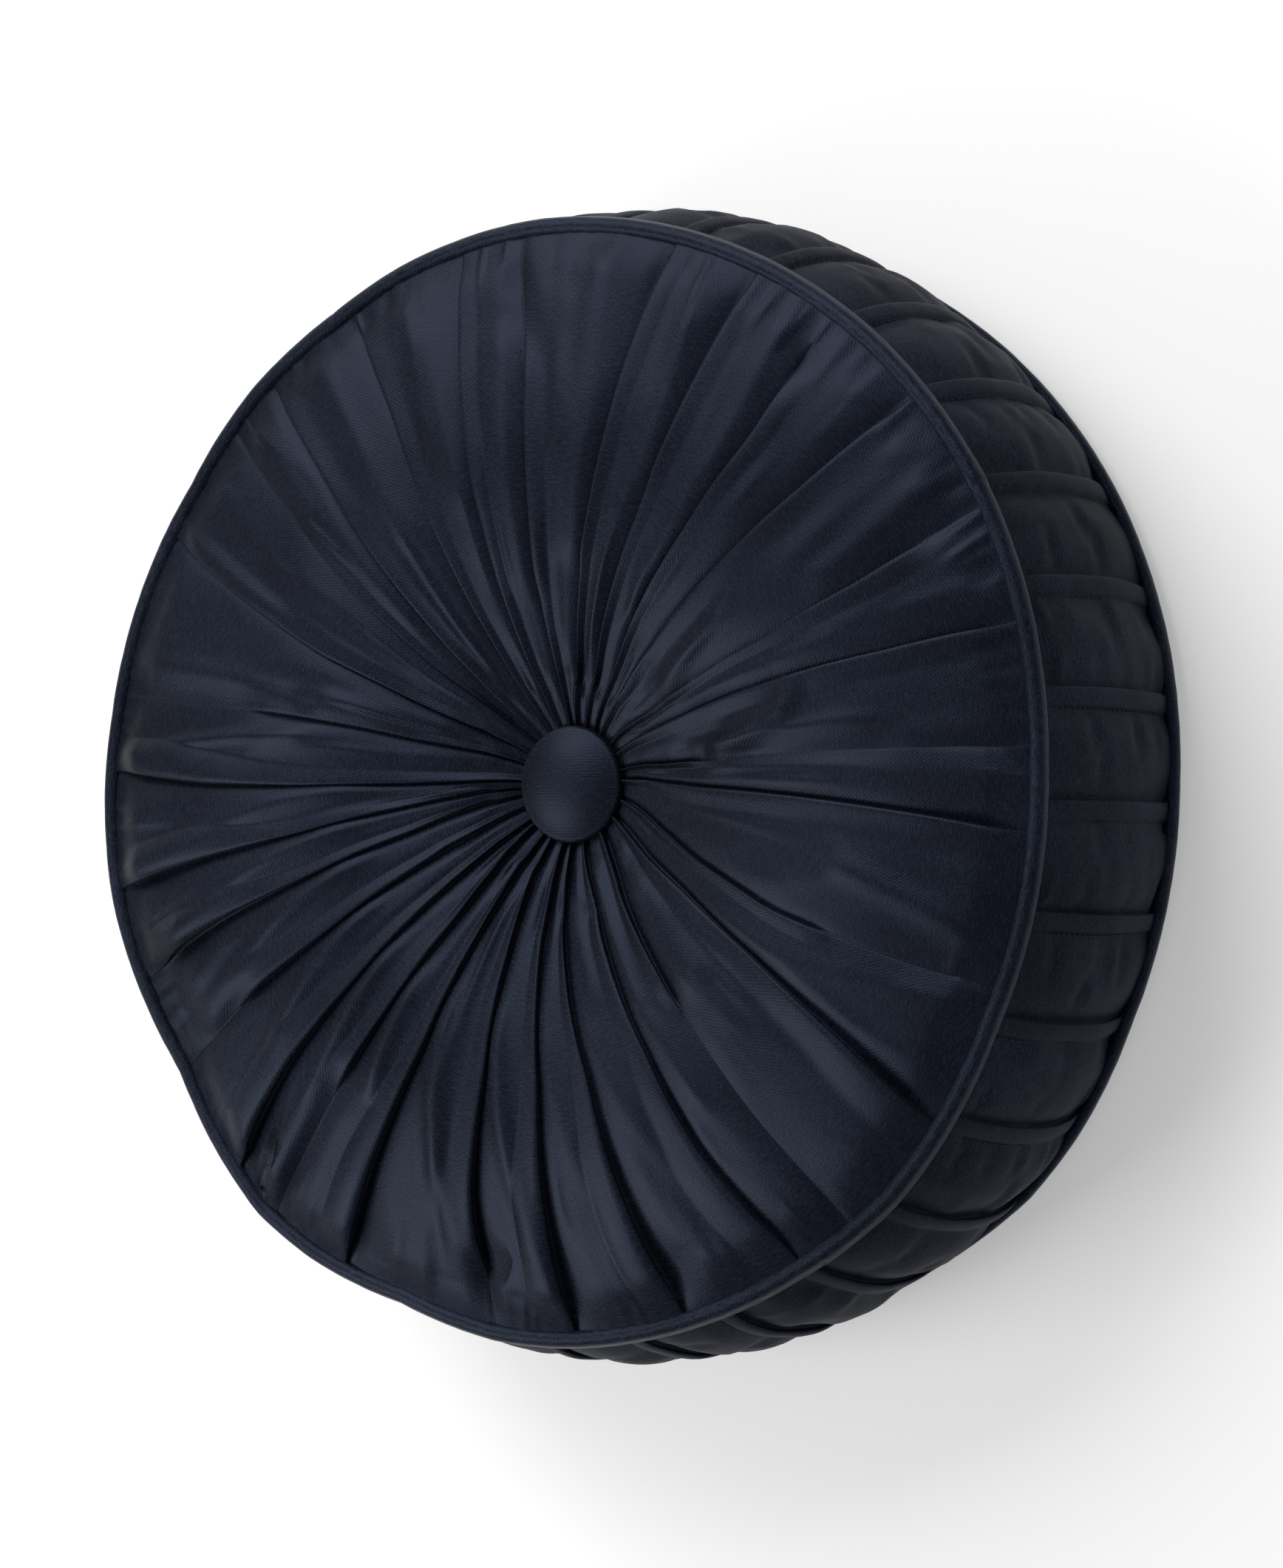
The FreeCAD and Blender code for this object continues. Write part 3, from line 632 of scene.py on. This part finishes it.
def band_piece(material, seed):
    """The upright band with its tucks, puffed between them, closed by a plain inner wall."""
    half = BAND_HALF / MM
    heights = half * np.sin(np.linspace(-1, 1, BAND_ROWS) * math.pi / 2 * 0.985)
    angles, lifts, cloth, roots = band_columns(heights / half, np.random.RandomState(seed))
    turned, up = np.radians(angles), heights[:, None]
    arc = turned * BAND_ARC
    crease, broad = waves(seed + 3, 30, 12, 2.5), waves(seed + 4, 14, 40, 12)
    lifts = lifts + 0.07 * crease(arc / 3.2, up / 22) * (0.5 + np.abs(up / half) ** 2)
    lifts = lifts + 0.25 * broad(arc, up)
    radius = band_profile(heights)[:, None] + lifts
    tall = np.broadcast_to(up, radius.shape)
    outer = np.stack([radius * np.cos(turned), radius * np.sin(turned), tall], -1)
    wall = ((half - 0.8, 182.0), (half / 2, 183.0), (-half / 2, 183.0), (-half + 0.8, 182.0))
    inner = [level_ring(inner_radius, turned[0], height) for height, inner_radius in wall]
    held = (np.abs(up / half) > 0.97) | roots
    outer = outer + inflate(outer[::-1], held[::-1], BAND_PRESSURE, BAND_MOVE)[::-1]
    full = np.concatenate([outer, np.array(inner), outer[:1]]) * MM
    full[..., 2] += BAND_MIDDLE
    weave = np.stack([cloth, np.broadcast_to(up * MM, cloth.shape)], -1)
    weave = np.concatenate([weave, np.repeat(weave[-1:], len(inner), axis=0), weave[:1]])
    right = weave.copy()
    right[:, 0, 0] = weave[:, -1, 0] + 1 * MM
    return closed_piece("tucked_band", full[::-1], weave[::-1], right[::-1], material)


def closed_piece(name, points, weave_left, weave_right, material):
    """A grid whose last row is its first again, joined there and bent with the outline."""
    piece = grid_object(name, points, weave_left, weave_right, material=material)
    solid = bmesh.new()
    solid.from_mesh(piece.data)
    bmesh.ops.remove_doubles(solid, verts=solid.verts, dist=1e-7)
    solid.to_mesh(piece.data)
    solid.free()
    bend_piece(piece)
    return piece


def stitch_points(turn, middle):
    """The points of one stitch, ring by ring, at an angle in radians and a height on the band."""
    points = []
    for along, share in STITCH_SECTIONS:
        height = middle + STITCH_HALF * along
        radius = band_profile(np.array(height)) - 0.55 + 0.12 * share
        for corner in range(STITCH_CORNERS):
            swing = 2 * math.pi * corner / STITCH_CORNERS
            out = radius + STITCH_THICK * share * math.cos(swing)
            angle = turn + STITCH_THICK * share * math.sin(swing) / BAND_ARC
            east, north = out * math.cos(angle) * MM, out * math.sin(angle) * MM
            points.append((east, north, height * MM + BAND_MIDDLE))
    return points


def stitch_faces(first):
    """The sides and the two ends of one stitch, from the number of its first point."""
    faces = []
    for section in range(len(STITCH_SECTIONS) - 1):
        low = first + section * STITCH_CORNERS
        high = low + STITCH_CORNERS
        for corner in range(STITCH_CORNERS):
            after = (corner + 1) % STITCH_CORNERS
            faces.append((low + corner, low + after, high + after, high + corner))
    faces.append(tuple(reversed(range(first, first + STITCH_CORNERS))))
    faces.append(tuple(range(high, high + STITCH_CORNERS)))
    return faces


def tuck_stitching(material, seed):
    """A row of short stitches beside the root of every tuck."""
    half = BAND_HALF / MM
    vertices, faces = [], []
    random = np.random.RandomState(seed)
    for index in range(TUCKS):
        angle = math.radians(FIRST_FOLD + 360 / TUCKS * index) - STITCH_BACK / BAND_ARC
        lean = random.uniform(-0.4, 0.4)
        for number in range(int((2 * half - 9) / STITCH_PITCH)):
            middle = -half + 5.0 + STITCH_PITCH * number
            faces += stitch_faces(len(vertices))
            vertices += stitch_points(angle + lean * middle / half / BAND_ARC, middle)
    piece = plain_object("tuck_stitching", vertices, faces, material)
    bend_piece(piece)
    return piece


def plain_object(name, vertices, faces, material):
    mesh = bpy.data.meshes.new(name)
    mesh.from_pydata([tuple(map(float, vertex)) for vertex in vertices], [], faces)
    mesh.polygons.foreach_set("use_smooth", [True] * len(faces))
    mesh.materials.append(material)
    return placed_object(name, mesh)


# ---- piping and buttons

# Millimetres for one radian along the piping and around it.
PIPING_ARC, TUBE_ARC = 188, 2.6
# The slanting laps of the piping cover: angle, slant, and how much thicker it gets.
LAPS = {
    "top": ((30, 0.9, 0.3), (303, 0.7, 0.16), (119, 1.1, 0.14)),
    "bottom": ((160, 0.9, 0.3), (250, 0.8, 0.15)),
}
BUTTON_DOME = 2.6  # how far the cloth dome stands above the cover of the plain model
BUTTON_SIDE = 4.6  # height of the button's edge, where the dome begins


def cord_piece(side, line, turn, material):
    """The cotton cord along the middle of the piping."""
    swing = np.linspace(0, 2 * math.pi, 13)[::-1, None]
    thick = CORD / MM
    out, up = line[:, 0] + thick * np.cos(swing), line[:, 1] + thick * np.sin(swing)
    points = np.stack([out * np.cos(turn), out * np.sin(turn), up], -1) * MM
    points[..., 2] += SEAM[side]
    flat = np.zeros(points.shape[:2] + (2,))
    return closed_piece(f"cord_{side}", points, flat, flat, material)


def closed_wander(random, turn, largest, numbers):
    """A smooth uneven line round the cushion, as a sum of waves."""
    total = 0
    for number in numbers:
        height = random.uniform(0.1, largest) / number ** 0.5
        total = total + height * np.cos(number * turn + random.uniform(0, 6.3))
    return total


def piping_piece(side, joins, seed, material, cord_material):
    """A covered cord round one seam, slightly uneven, with its slanting joins."""
    turn = np.linspace(0, 2 * math.pi, 900, endpoint=False)
    swing = np.linspace(0, 2 * math.pi, 22, endpoint=False)
    random = np.random.RandomState(seed)
    wander = closed_wander(random, turn, 0.45, range(2, 12))
    rise = closed_wander(random, turn, 0.4, range(3, 14))
    wrinkle = waves(seed, 16, 16, 5)
    along, around = np.meshgrid(turn, swing, indexing="ij")
    thickness = TUBE / MM * (1.16 + 0.02 * wrinkle(along * PIPING_ARC, around * TUBE_ARC))
    for angle, slant, step in joins:
        behind = (along - math.radians(angle)) * PIPING_ARC - slant * np.sin(around + 0.6) * TUBE_ARC
        thickness = thickness + step * smooth((behind + 0.25) / 0.5) * (1 - smooth(behind / 16))
        thickness = thickness - 0.5 * step * np.exp(-((behind + 0.5) / 0.55) ** 2)
    line = np.stack([SEAM_RADIUS / MM - 0.35 + 0.55 * wander, 0.4 * rise], -1)
    radius = line[:, :1] + thickness * np.cos(around)
    height = line[:, 1:] + thickness * np.sin(around)
    points = np.stack([radius * np.cos(along), radius * np.sin(along), height], -1) * MM
    points[..., 2] += SEAM[side]
    weave = np.stack([along * PIPING_ARC, around * TUBE_ARC], -1) * MM
    points, weave = points.transpose(1, 0, 2), weave.transpose(1, 0, 2)
    points = np.concatenate([points, points[:1]])[::-1]
    weave = np.concatenate([weave, weave[:1]])[::-1]
    right = weave.copy()
    right[:, 0, 0] = 2 * math.pi * PIPING_ARC * MM
    piping = closed_piece(f"piping_{side}", points, weave, right, material)
    return piping, cord_piece(side, line, turn, cord_material)


def button_rings():
    """Radius and height of a button's dome, its round edge and its underside, in millimetres."""
    edge = BUTTON_RADIUS / MM
    top = BUTTON_HEIGHT / MM + BUTTON_DOME
    shares = np.linspace(0.03, 1, 22)
    rings = [(edge * 0.93 * share, top - (top - BUTTON_SIDE) * share ** 2.3) for share in shares]
    for step in range(1, 8):
        angle = math.pi / 2 - step * math.pi / 8 * 1.15
        rings.append((edge * 0.93 + edge * 0.07 * math.cos(angle), 2.6 + 2.0 * math.sin(angle)))
    return rings + [(edge * 0.965, 0.5), (edge * 0.9, 0.0), (edge * 0.7, 0.0), (4.0, 0.1)]


def button_piece(side, material):
    """A covered button: a low dome with a tight round edge, and cloth gathered in underneath."""
    turn = np.linspace(0, 2 * math.pi, 160, endpoint=False)
    points = []
    for number, (radius, height) in enumerate(button_rings()):
        gather = 0.12 * np.cos(turn * 40) * smooth((number - 24) / 4)
        points.append(level_ring(radius + gather, turn, height))
    points = np.array(points) * MM
    facing = 1 if side == "top" else -1
    base = SEAM[side] + facing * BUTTON_BASE
    placed = np.stack([points[..., 0], facing * points[..., 1], base + facing * points[..., 2]], -1)
    weave = points[..., :2].copy()
    summit = BUTTON_HEIGHT + BUTTON_DOME * MM
    caps = ((0, 0, base + facing * summit), (0, 0, base + facing * 0.1 * MM))
    return grid_object(f"covered_button_{side}", placed, weave, weave, caps, material)


# ---- materials

class Nodes:
    """Short ways to add and join shader nodes."""

    def __init__(self, name):
        self.material = bpy.data.materials.new(name)
        self.material.use_nodes = True
        self.tree = self.material.node_tree
        self.shader = self.tree.nodes["Principled BSDF"]
        self.place = self.add("ShaderNodeTexCoord").outputs["Object"]

    def add(self, kind, **settings):
        node = self.tree.nodes.new(kind)
        for key, setting in settings.items():
            setattr(node, key, setting)
        return node

    def link(self, source, target):
        self.tree.links.new(source, target)

    def noise(self, coordinates, scale, detail=2.0, roughness=0.5):
        node = self.add("ShaderNodeTexNoise")
        node.inputs["Scale"].default_value = scale
        node.inputs["Detail"].default_value = detail
        node.inputs["Roughness"].default_value = roughness
        self.link(coordinates, node.inputs["Vector"])
        return node.outputs["Fac"]

    def stretch(self, coordinates, scale, turn=0.0):
        node = self.add("ShaderNodeMapping")
        node.inputs["Scale"].default_value = scale
        node.inputs["Rotation"].default_value = (0, 0, turn)
        self.link(coordinates, node.inputs["Vector"])
        return node.outputs["Vector"]

    def ramp(self, factor, stops):
        node = self.add("ShaderNodeValToRGB")
        node.color_ramp.elements[0].position = stops[0][0]
        node.color_ramp.elements[0].color = (*stops[0][1], 1)
        node.color_ramp.elements[1].position = stops[-1][0]
        node.color_ramp.elements[1].color = (*stops[-1][1], 1)
        for position, colour in stops[1:-1]:
            node.color_ramp.elements.new(position).color = (*colour, 1)
        self.link(factor, node.inputs["Fac"])
        return node.outputs["Color"]

    def set(self, **values):
        """Plain values of the shader; an underscore in a name stands for a blank."""
        for name, value in values.items():
            self.shader.inputs[name.replace("_", " ")].default_value = value

    def math(self, operation, first, second):
        node = self.add("ShaderNodeMath", operation=operation)
        for socket, value in zip(node.inputs, (first, second)):
            if isinstance(value, (int, float)):
                socket.default_value = value
            else:
                self.link(value, socket)
        return node.outputs[0]

    def weigh(self, first, share, second, other_share):
        first = self.math("MULTIPLY", first, share)
        return self.math("ADD", first, self.math("MULTIPLY", second, other_share))

    def bump(self, height, strength, distance):
        node = self.add("ShaderNodeBump")
        node.inputs["Strength"].default_value = strength
        node.inputs["Distance"].default_value = distance
        self.link(height, node.inputs["Height"])
        self.link(node.outputs["Normal"], self.shader.inputs["Normal"])

    def paint(self, factor, stops):
        self.link(self.ramp(factor, stops), self.shader.inputs["Base Color"])


NAVY = (0.0060, 0.0074, 0.0124)
# Painted light: the band's navy is the face's satin made about 1.6 times lighter, to lift the band's shade.
SHADE_LIFTED_BAND_NAVY = (0.0098, 0.0116, 0.0205)
FLOOR_GLOW = 0.32


def tint(colour, factor):
    return tuple(channel * factor for channel in colour)


def satin(name, colour=NAVY, roughness=0.37, grain_turn=0.7, shine=0.21):
    """Navy satin: a fine slanting twill, uneven yarns, a soft sheen and slight shading."""
    nodes = Nodes(name)
    weave = nodes.add("ShaderNodeUVMap", uv_map="weave").outputs["UV"]
    twill = nodes.add("ShaderNodeTexWave", wave_type="BANDS", bands_direction="X")
    twill.inputs["Scale"].default_value = 310.0
    twill.inputs["Distortion"].default_value = 0.6
    twill.inputs["Detail"].default_value = 1.0
    nodes.link(nodes.stretch(weave, (1, 1, 1), grain_turn), twill.inputs["Vector"])
    yarn = nodes.noise(nodes.stretch(weave, (260, 2600, 1), grain_turn), 1.0, 3.0, 0.65)
    grain = nodes.noise(weave, 1100.0, 3.0, 0.7)
    cloud = nodes.noise(nodes.place, 16.0, 3.0, 0.55)
    mixed = nodes.weigh(yarn, 0.45, grain, 0.35)
    mixed = nodes.math("ADD", mixed, nodes.math("MULTIPLY", cloud, 0.2))
    nodes.paint(mixed, ((0.41, tint(colour, 0.35)), (0.5, colour), (0.59, tint(colour, 2.3))))
    rough = nodes.math("ADD", nodes.math("MULTIPLY", yarn, 0.22), roughness - 0.11)
    nodes.link(rough, nodes.shader.inputs["Roughness"])
    nodes.bump(nodes.weigh(twill.outputs["Fac"], 0.25, grain, 1.4), 0.6, 0.00015)
    nodes.set(Specular_IOR_Level=shine, Specular_Tint=(0.5, 0.62, 1.0, 1))
    return nodes.material


def thread(name, colour):
    """Spun thread with a fine twist."""
    nodes = Nodes(name)
    twist = nodes.noise(nodes.stretch(nodes.place, (900, 900, 2400)), 1.0, 2.0)
    nodes.paint(twist, ((0.3, tint(colour, 0.6)), (0.7, tint(colour, 1.5))))
    nodes.bump(twist, 0.5, 0.0001)
    nodes.set(Roughness=0.6, Specular_IOR_Level=0.12)
    return nodes.material


def fibrous(name, colour, scale, depth):
    """Matted fibre or unwoven cloth."""
    nodes = Nodes(name)
    strands = nodes.noise(nodes.stretch(nodes.place, (1, 3, 1), 0.5), scale, 5.0, 0.7)
    crossing = nodes.noise(nodes.stretch(nodes.place, (3, 1, 2), -0.4), scale * 1.3, 5.0, 0.7)
    mixed = nodes.weigh(strands, 0.5, crossing, 0.5)
    nodes.paint(mixed, ((0.3, tint(colour, 0.8)), (0.7, colour)))
    nodes.bump(mixed, 0.6, depth)
    nodes.set(Roughness=0.85, Sheen_Weight=0.4)
    return nodes.material


def steel(name):
    """Pressed and tinned sheet or wire with fine drawing marks."""
    nodes = Nodes(name)
    marks = nodes.noise(nodes.stretch(nodes.place, (400, 400, 3000)), 1.0, 4.0, 0.6)
    nodes.paint(marks, ((0.3, (0.42, 0.42, 0.41)), (0.7, (0.6, 0.6, 0.58))))
    rough = nodes.math("ADD", nodes.math("MULTIPLY", marks, 0.2), 0.25)
    nodes.link(rough, nodes.shader.inputs["Roughness"])
    nodes.bump(marks, 0.2, 0.00005)
    nodes.set(Metallic=1.0)
    return nodes.material


def white_floor():
    """Matt white that glows a little, so that it comes out as even as the photograph's background."""
    nodes = Nodes("studio_white")
    nodes.paint(nodes.noise(nodes.place, 3.0), ((0.3, (0.92, 0.92, 0.92)), (0.7, (0.94, 0.94, 0.94))))
    nodes.set(Roughness=0.9, Specular_IOR_Level=0.1)
    nodes.set(Emission_Color=(1, 1, 1, 1), Emission_Strength=FLOOR_GLOW)
    return nodes.material


# ---- camera, light and floor

VIEW_YAW, VIEW_PITCH = -33.2, -1.27
VIEW_DISTANCE = 2.5
LENS, SENSOR = 168.1, 36
AIM_RIGHT = 0.638  # degrees by which the camera looks past the seat's centre
WORLD_LIGHT = 0.275
FLOOR_HALF = 6.0


def view_turn():
    """The rotation from the cushion's frame to the camera's."""
    yaw = Matrix.Rotation(math.radians(VIEW_YAW), 3, "Y")
    pitch = Matrix.Rotation(math.radians(VIEW_PITCH), 3, "X")
    return pitch @ yaw


def place_camera():
    data = bpy.data.cameras.new("camera")
    data.lens = LENS
    data.sensor_width = SENSOR
    data.clip_end = 30
    camera = placed_object("camera", data)
    turn = view_turn().transposed()
    target = Vector((0, 0, TOP_SEAM))
    location = target + turn @ Vector((0, 0, VIEW_DISTANCE))
    aim = turn @ Matrix.Rotation(math.radians(-AIM_RIGHT), 3, "Y")
    camera.matrix_world = Matrix.Translation(location) @ aim.to_4x4()
    bpy.context.scene.camera = camera


def softbox(name, direction, distance, size, power):
    """A square area light that faces the cushion from a direction in the camera's frame."""
    data = bpy.data.lights.new(name, "AREA")
    data.size = size
    data.energy = power
    lamp = placed_object(name, data)
    heading = (view_turn().transposed() @ Vector(direction)).normalized()
    lamp.location = Vector((0, 0, BAND_MIDDLE)) + heading * distance
    lamp.rotation_euler = heading.to_track_quat("Z", "Y").to_euler()


def studio():
    place_camera()
    bpy.context.scene.view_settings.view_transform = "Standard"
    softbox("key", (-0.69, 0.74, 0.44), distance=1.75, size=1.4, power=22.5)
    softbox("left_fill", (-1.0, -0.45, 0.24), distance=1.05, size=0.55, power=4.2)
    world = bpy.data.worlds.new("studio")
    world.use_nodes = True
    background = world.node_tree.nodes["Background"]
    background.inputs["Color"].default_value = (1, 1, 1, 1)
    background.inputs["Strength"].default_value = WORLD_LIGHT
    bpy.context.scene.world = world
    far = FLOOR_HALF
    corners = [(-far, -far, 0), (far, -far, 0), (far, far, 0), (-far, far, 0)]
    floor = plain_object("floor", corners, [(0, 1, 2, 3)], white_floor())


# ---- make everything

def lathe(name, profile, material, columns=192):
    """A closed ring turned from a loop of (radius, height) points in metres, bent like the rest."""
    turn = np.linspace(0, 2 * math.pi, columns, endpoint=False)
    rows = [*profile, profile[0]]
    points = np.array([level_ring(radius, turn, height) for radius, height in rows])
    flat = np.zeros(points.shape[:2] + (2,))
    return closed_piece(name, points, flat, flat, material)


INNER_RADII = (14, 20, 28, 36, 45, 60, 80, 100, 115, 135, 150, 165, 175, 181)
LINER = 0.5  # thickness of the inner case, and its gap to the wadded face
FILL_GAP = 1.6  # from the wadded face to the fibre


def inner_face(side, material):
    """The inner case's round end, close under the wadded face."""
    outward = 1 if side == "top" else -1
    over, under = [], []
    for radius in (8, *INNER_RADII):
        height = plain_height(side, radius) - WADDING - LINER
        over.append((radius * MM, SEAM[side] + outward * height * MM))
        under.append((radius * MM, SEAM[side] + outward * (height - LINER) * MM))
    loop = over + under[::-1]
    return lathe(f"inner_case_{side}", loop if side == "top" else loop[::-1], material)


def filling_piece(keep, material):
    """The fibre, thin where the twine pulls the faces together, also when the seat is pressed."""
    depth, pressed = 2 * BAND_HALF / MM, (2 * BAND_HALF - PRESS) / MM
    over, under = [], []
    for radius in INNER_RADII:
        high = plain_height("top", radius) - WADDING - FILL_GAP
        low = -plain_height("bottom", radius) + WADDING + FILL_GAP
        over.append((radius * MM, BOTTOM_SEAM + min(depth + high, (pressed + high) / keep) * MM))
        under.append((radius * MM, BOTTOM_SEAM + max(low, low / keep) * MM))
    return lathe("fibre_filling", over + under[::-1], material)


def case_side_piece(keep, material):
    """The inner case's upright side, inside the tucked band, low enough to clear the pressed face."""
    outer, thick, inset = SEAM_RADIUS - 6.6 * MM, LINER * MM, 5 * MM
    low, high = BOTTOM_SEAM + inset, BOTTOM_SEAM + (2 * BAND_HALF - PRESS - 6.5 * MM) / keep
    loop = [(outer - thick, low), (outer - thick, high), (outer, high), (outer, low)]
    return lathe("inner_case_side", loop, material)


def copy_of_node(node, name, material):
    """A piece of its own with a CAD node's shape, for a soft node that shortens with the press."""
    mesh = frame["nodes"][node].data.copy()
    mesh.materials.clear()
    mesh.materials.append(material)
    return placed_object(name, mesh)


def bent_copy(node, name, material):
    """A CAD node's shape, bent with the outline."""
    piece = copy_of_node(node, name, material)
    bend_piece(piece)
    return piece


def shorten(piece):
    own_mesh(piece)


def dress_nodes(materials):
    """Give every CAD node that stays its own procedural material."""
    slots = {entry["node"]: entry["material_slot"] for entry in frame["record"]["subparts"]}
    for name, node in frame["nodes"].items():
        for slot in node.material_slots:
            slot.material = materials[slots[name]]


studio()
looks = {
    "face_satin": satin("face_satin"),
    # The band's colour is painted light: the face navy lightened to lift its shade.
    "band_satin": satin("band_satin", SHADE_LIFTED_BAND_NAVY, roughness=0.5, grain_turn=0.0, shine=0.035),
    # Painted light: the piping is the face's navy satin made 1.6 times lighter, to lift its shade.
    "piping_satin": satin("piping_satin", tint(NAVY, 1.6), roughness=0.38, grain_turn=0.8, shine=0.17),
    "button_satin": satin("button_satin", roughness=0.42, grain_turn=1.57, shine=0.24),
    "navy_thread": thread("navy_thread", (0.010, 0.012, 0.020)),
    "cotton_cord": thread("cotton_cord", (0.7, 0.67, 0.58)),
    "liner_cloth": fibrous("liner_cloth", (0.8, 0.8, 0.78), 700.0, 0.0001),
    "polyester_fibre": fibrous("polyester_fibre", (0.9, 0.9, 0.88), 160.0, 0.001),
    "waxed_twine": thread("waxed_twine", (0.55, 0.45, 0.3)),
    "button_steel": steel("button_steel"),
}
dress_nodes(looks)

for side, spin, seed in (("top", 0.0, 11), ("bottom", 23.0, 41)):
    body = "seat_face" if side == "top" else "base"
    face = face_piece(side, spin, seed, looks["face_satin"])
    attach(face, body)
    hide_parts(f"{side}_face_panel")
    piping, cord = piping_piece(side, LAPS[side], seed + 3, looks["piping_satin"], looks["cotton_cord"])
    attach(piping, body)
    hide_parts(f"{side}_piping_cover")
    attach(cord, body)
    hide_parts(f"{side}_piping_cord")
    button = button_piece(side, looks["button_satin"])
    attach(button, f"{side}_button")
    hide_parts(f"{side}_button_cover")

    case_end = inner_face(side, looks["liner_cloth"])
    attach(case_end, body)
    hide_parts(f"liner_{side}")
    stitches = bent_copy(f"{side}_seam_thread", f"seam_stitches_{side}", looks["navy_thread"])
    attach(stitches, body)
    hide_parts(f"{side}_seam_thread")

closing = bent_copy("closing_stitches", "hand_stitches", looks["navy_thread"])
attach(closing, "base")
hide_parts("closing_stitches")

KEPT = (2 * BAND_HALF - PRESS) / (2 * BAND_HALF)  # the share of its height that the press leaves
band = band_piece(looks["band_satin"], 5)
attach(band, "base")
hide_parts("boxing_band")

stitching = tuck_stitching(looks["navy_thread"], 5)
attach(stitching, "base")
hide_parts("tuck_stitches")

filling = filling_piece(KEPT, looks["polyester_fibre"])
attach(filling, "base")
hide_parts("fibre_fill")

case_side = case_side_piece(KEPT, looks["liner_cloth"])
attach(case_side, "base")
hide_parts("liner_band")

for piece in (band, stitching, filling, case_side):
    shorten(piece)
twine = copy_of_node("tufting_twine", "doubled_twine", looks["waxed_twine"])
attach(twine, "base")
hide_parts("tufting_twine")
shorten(twine)
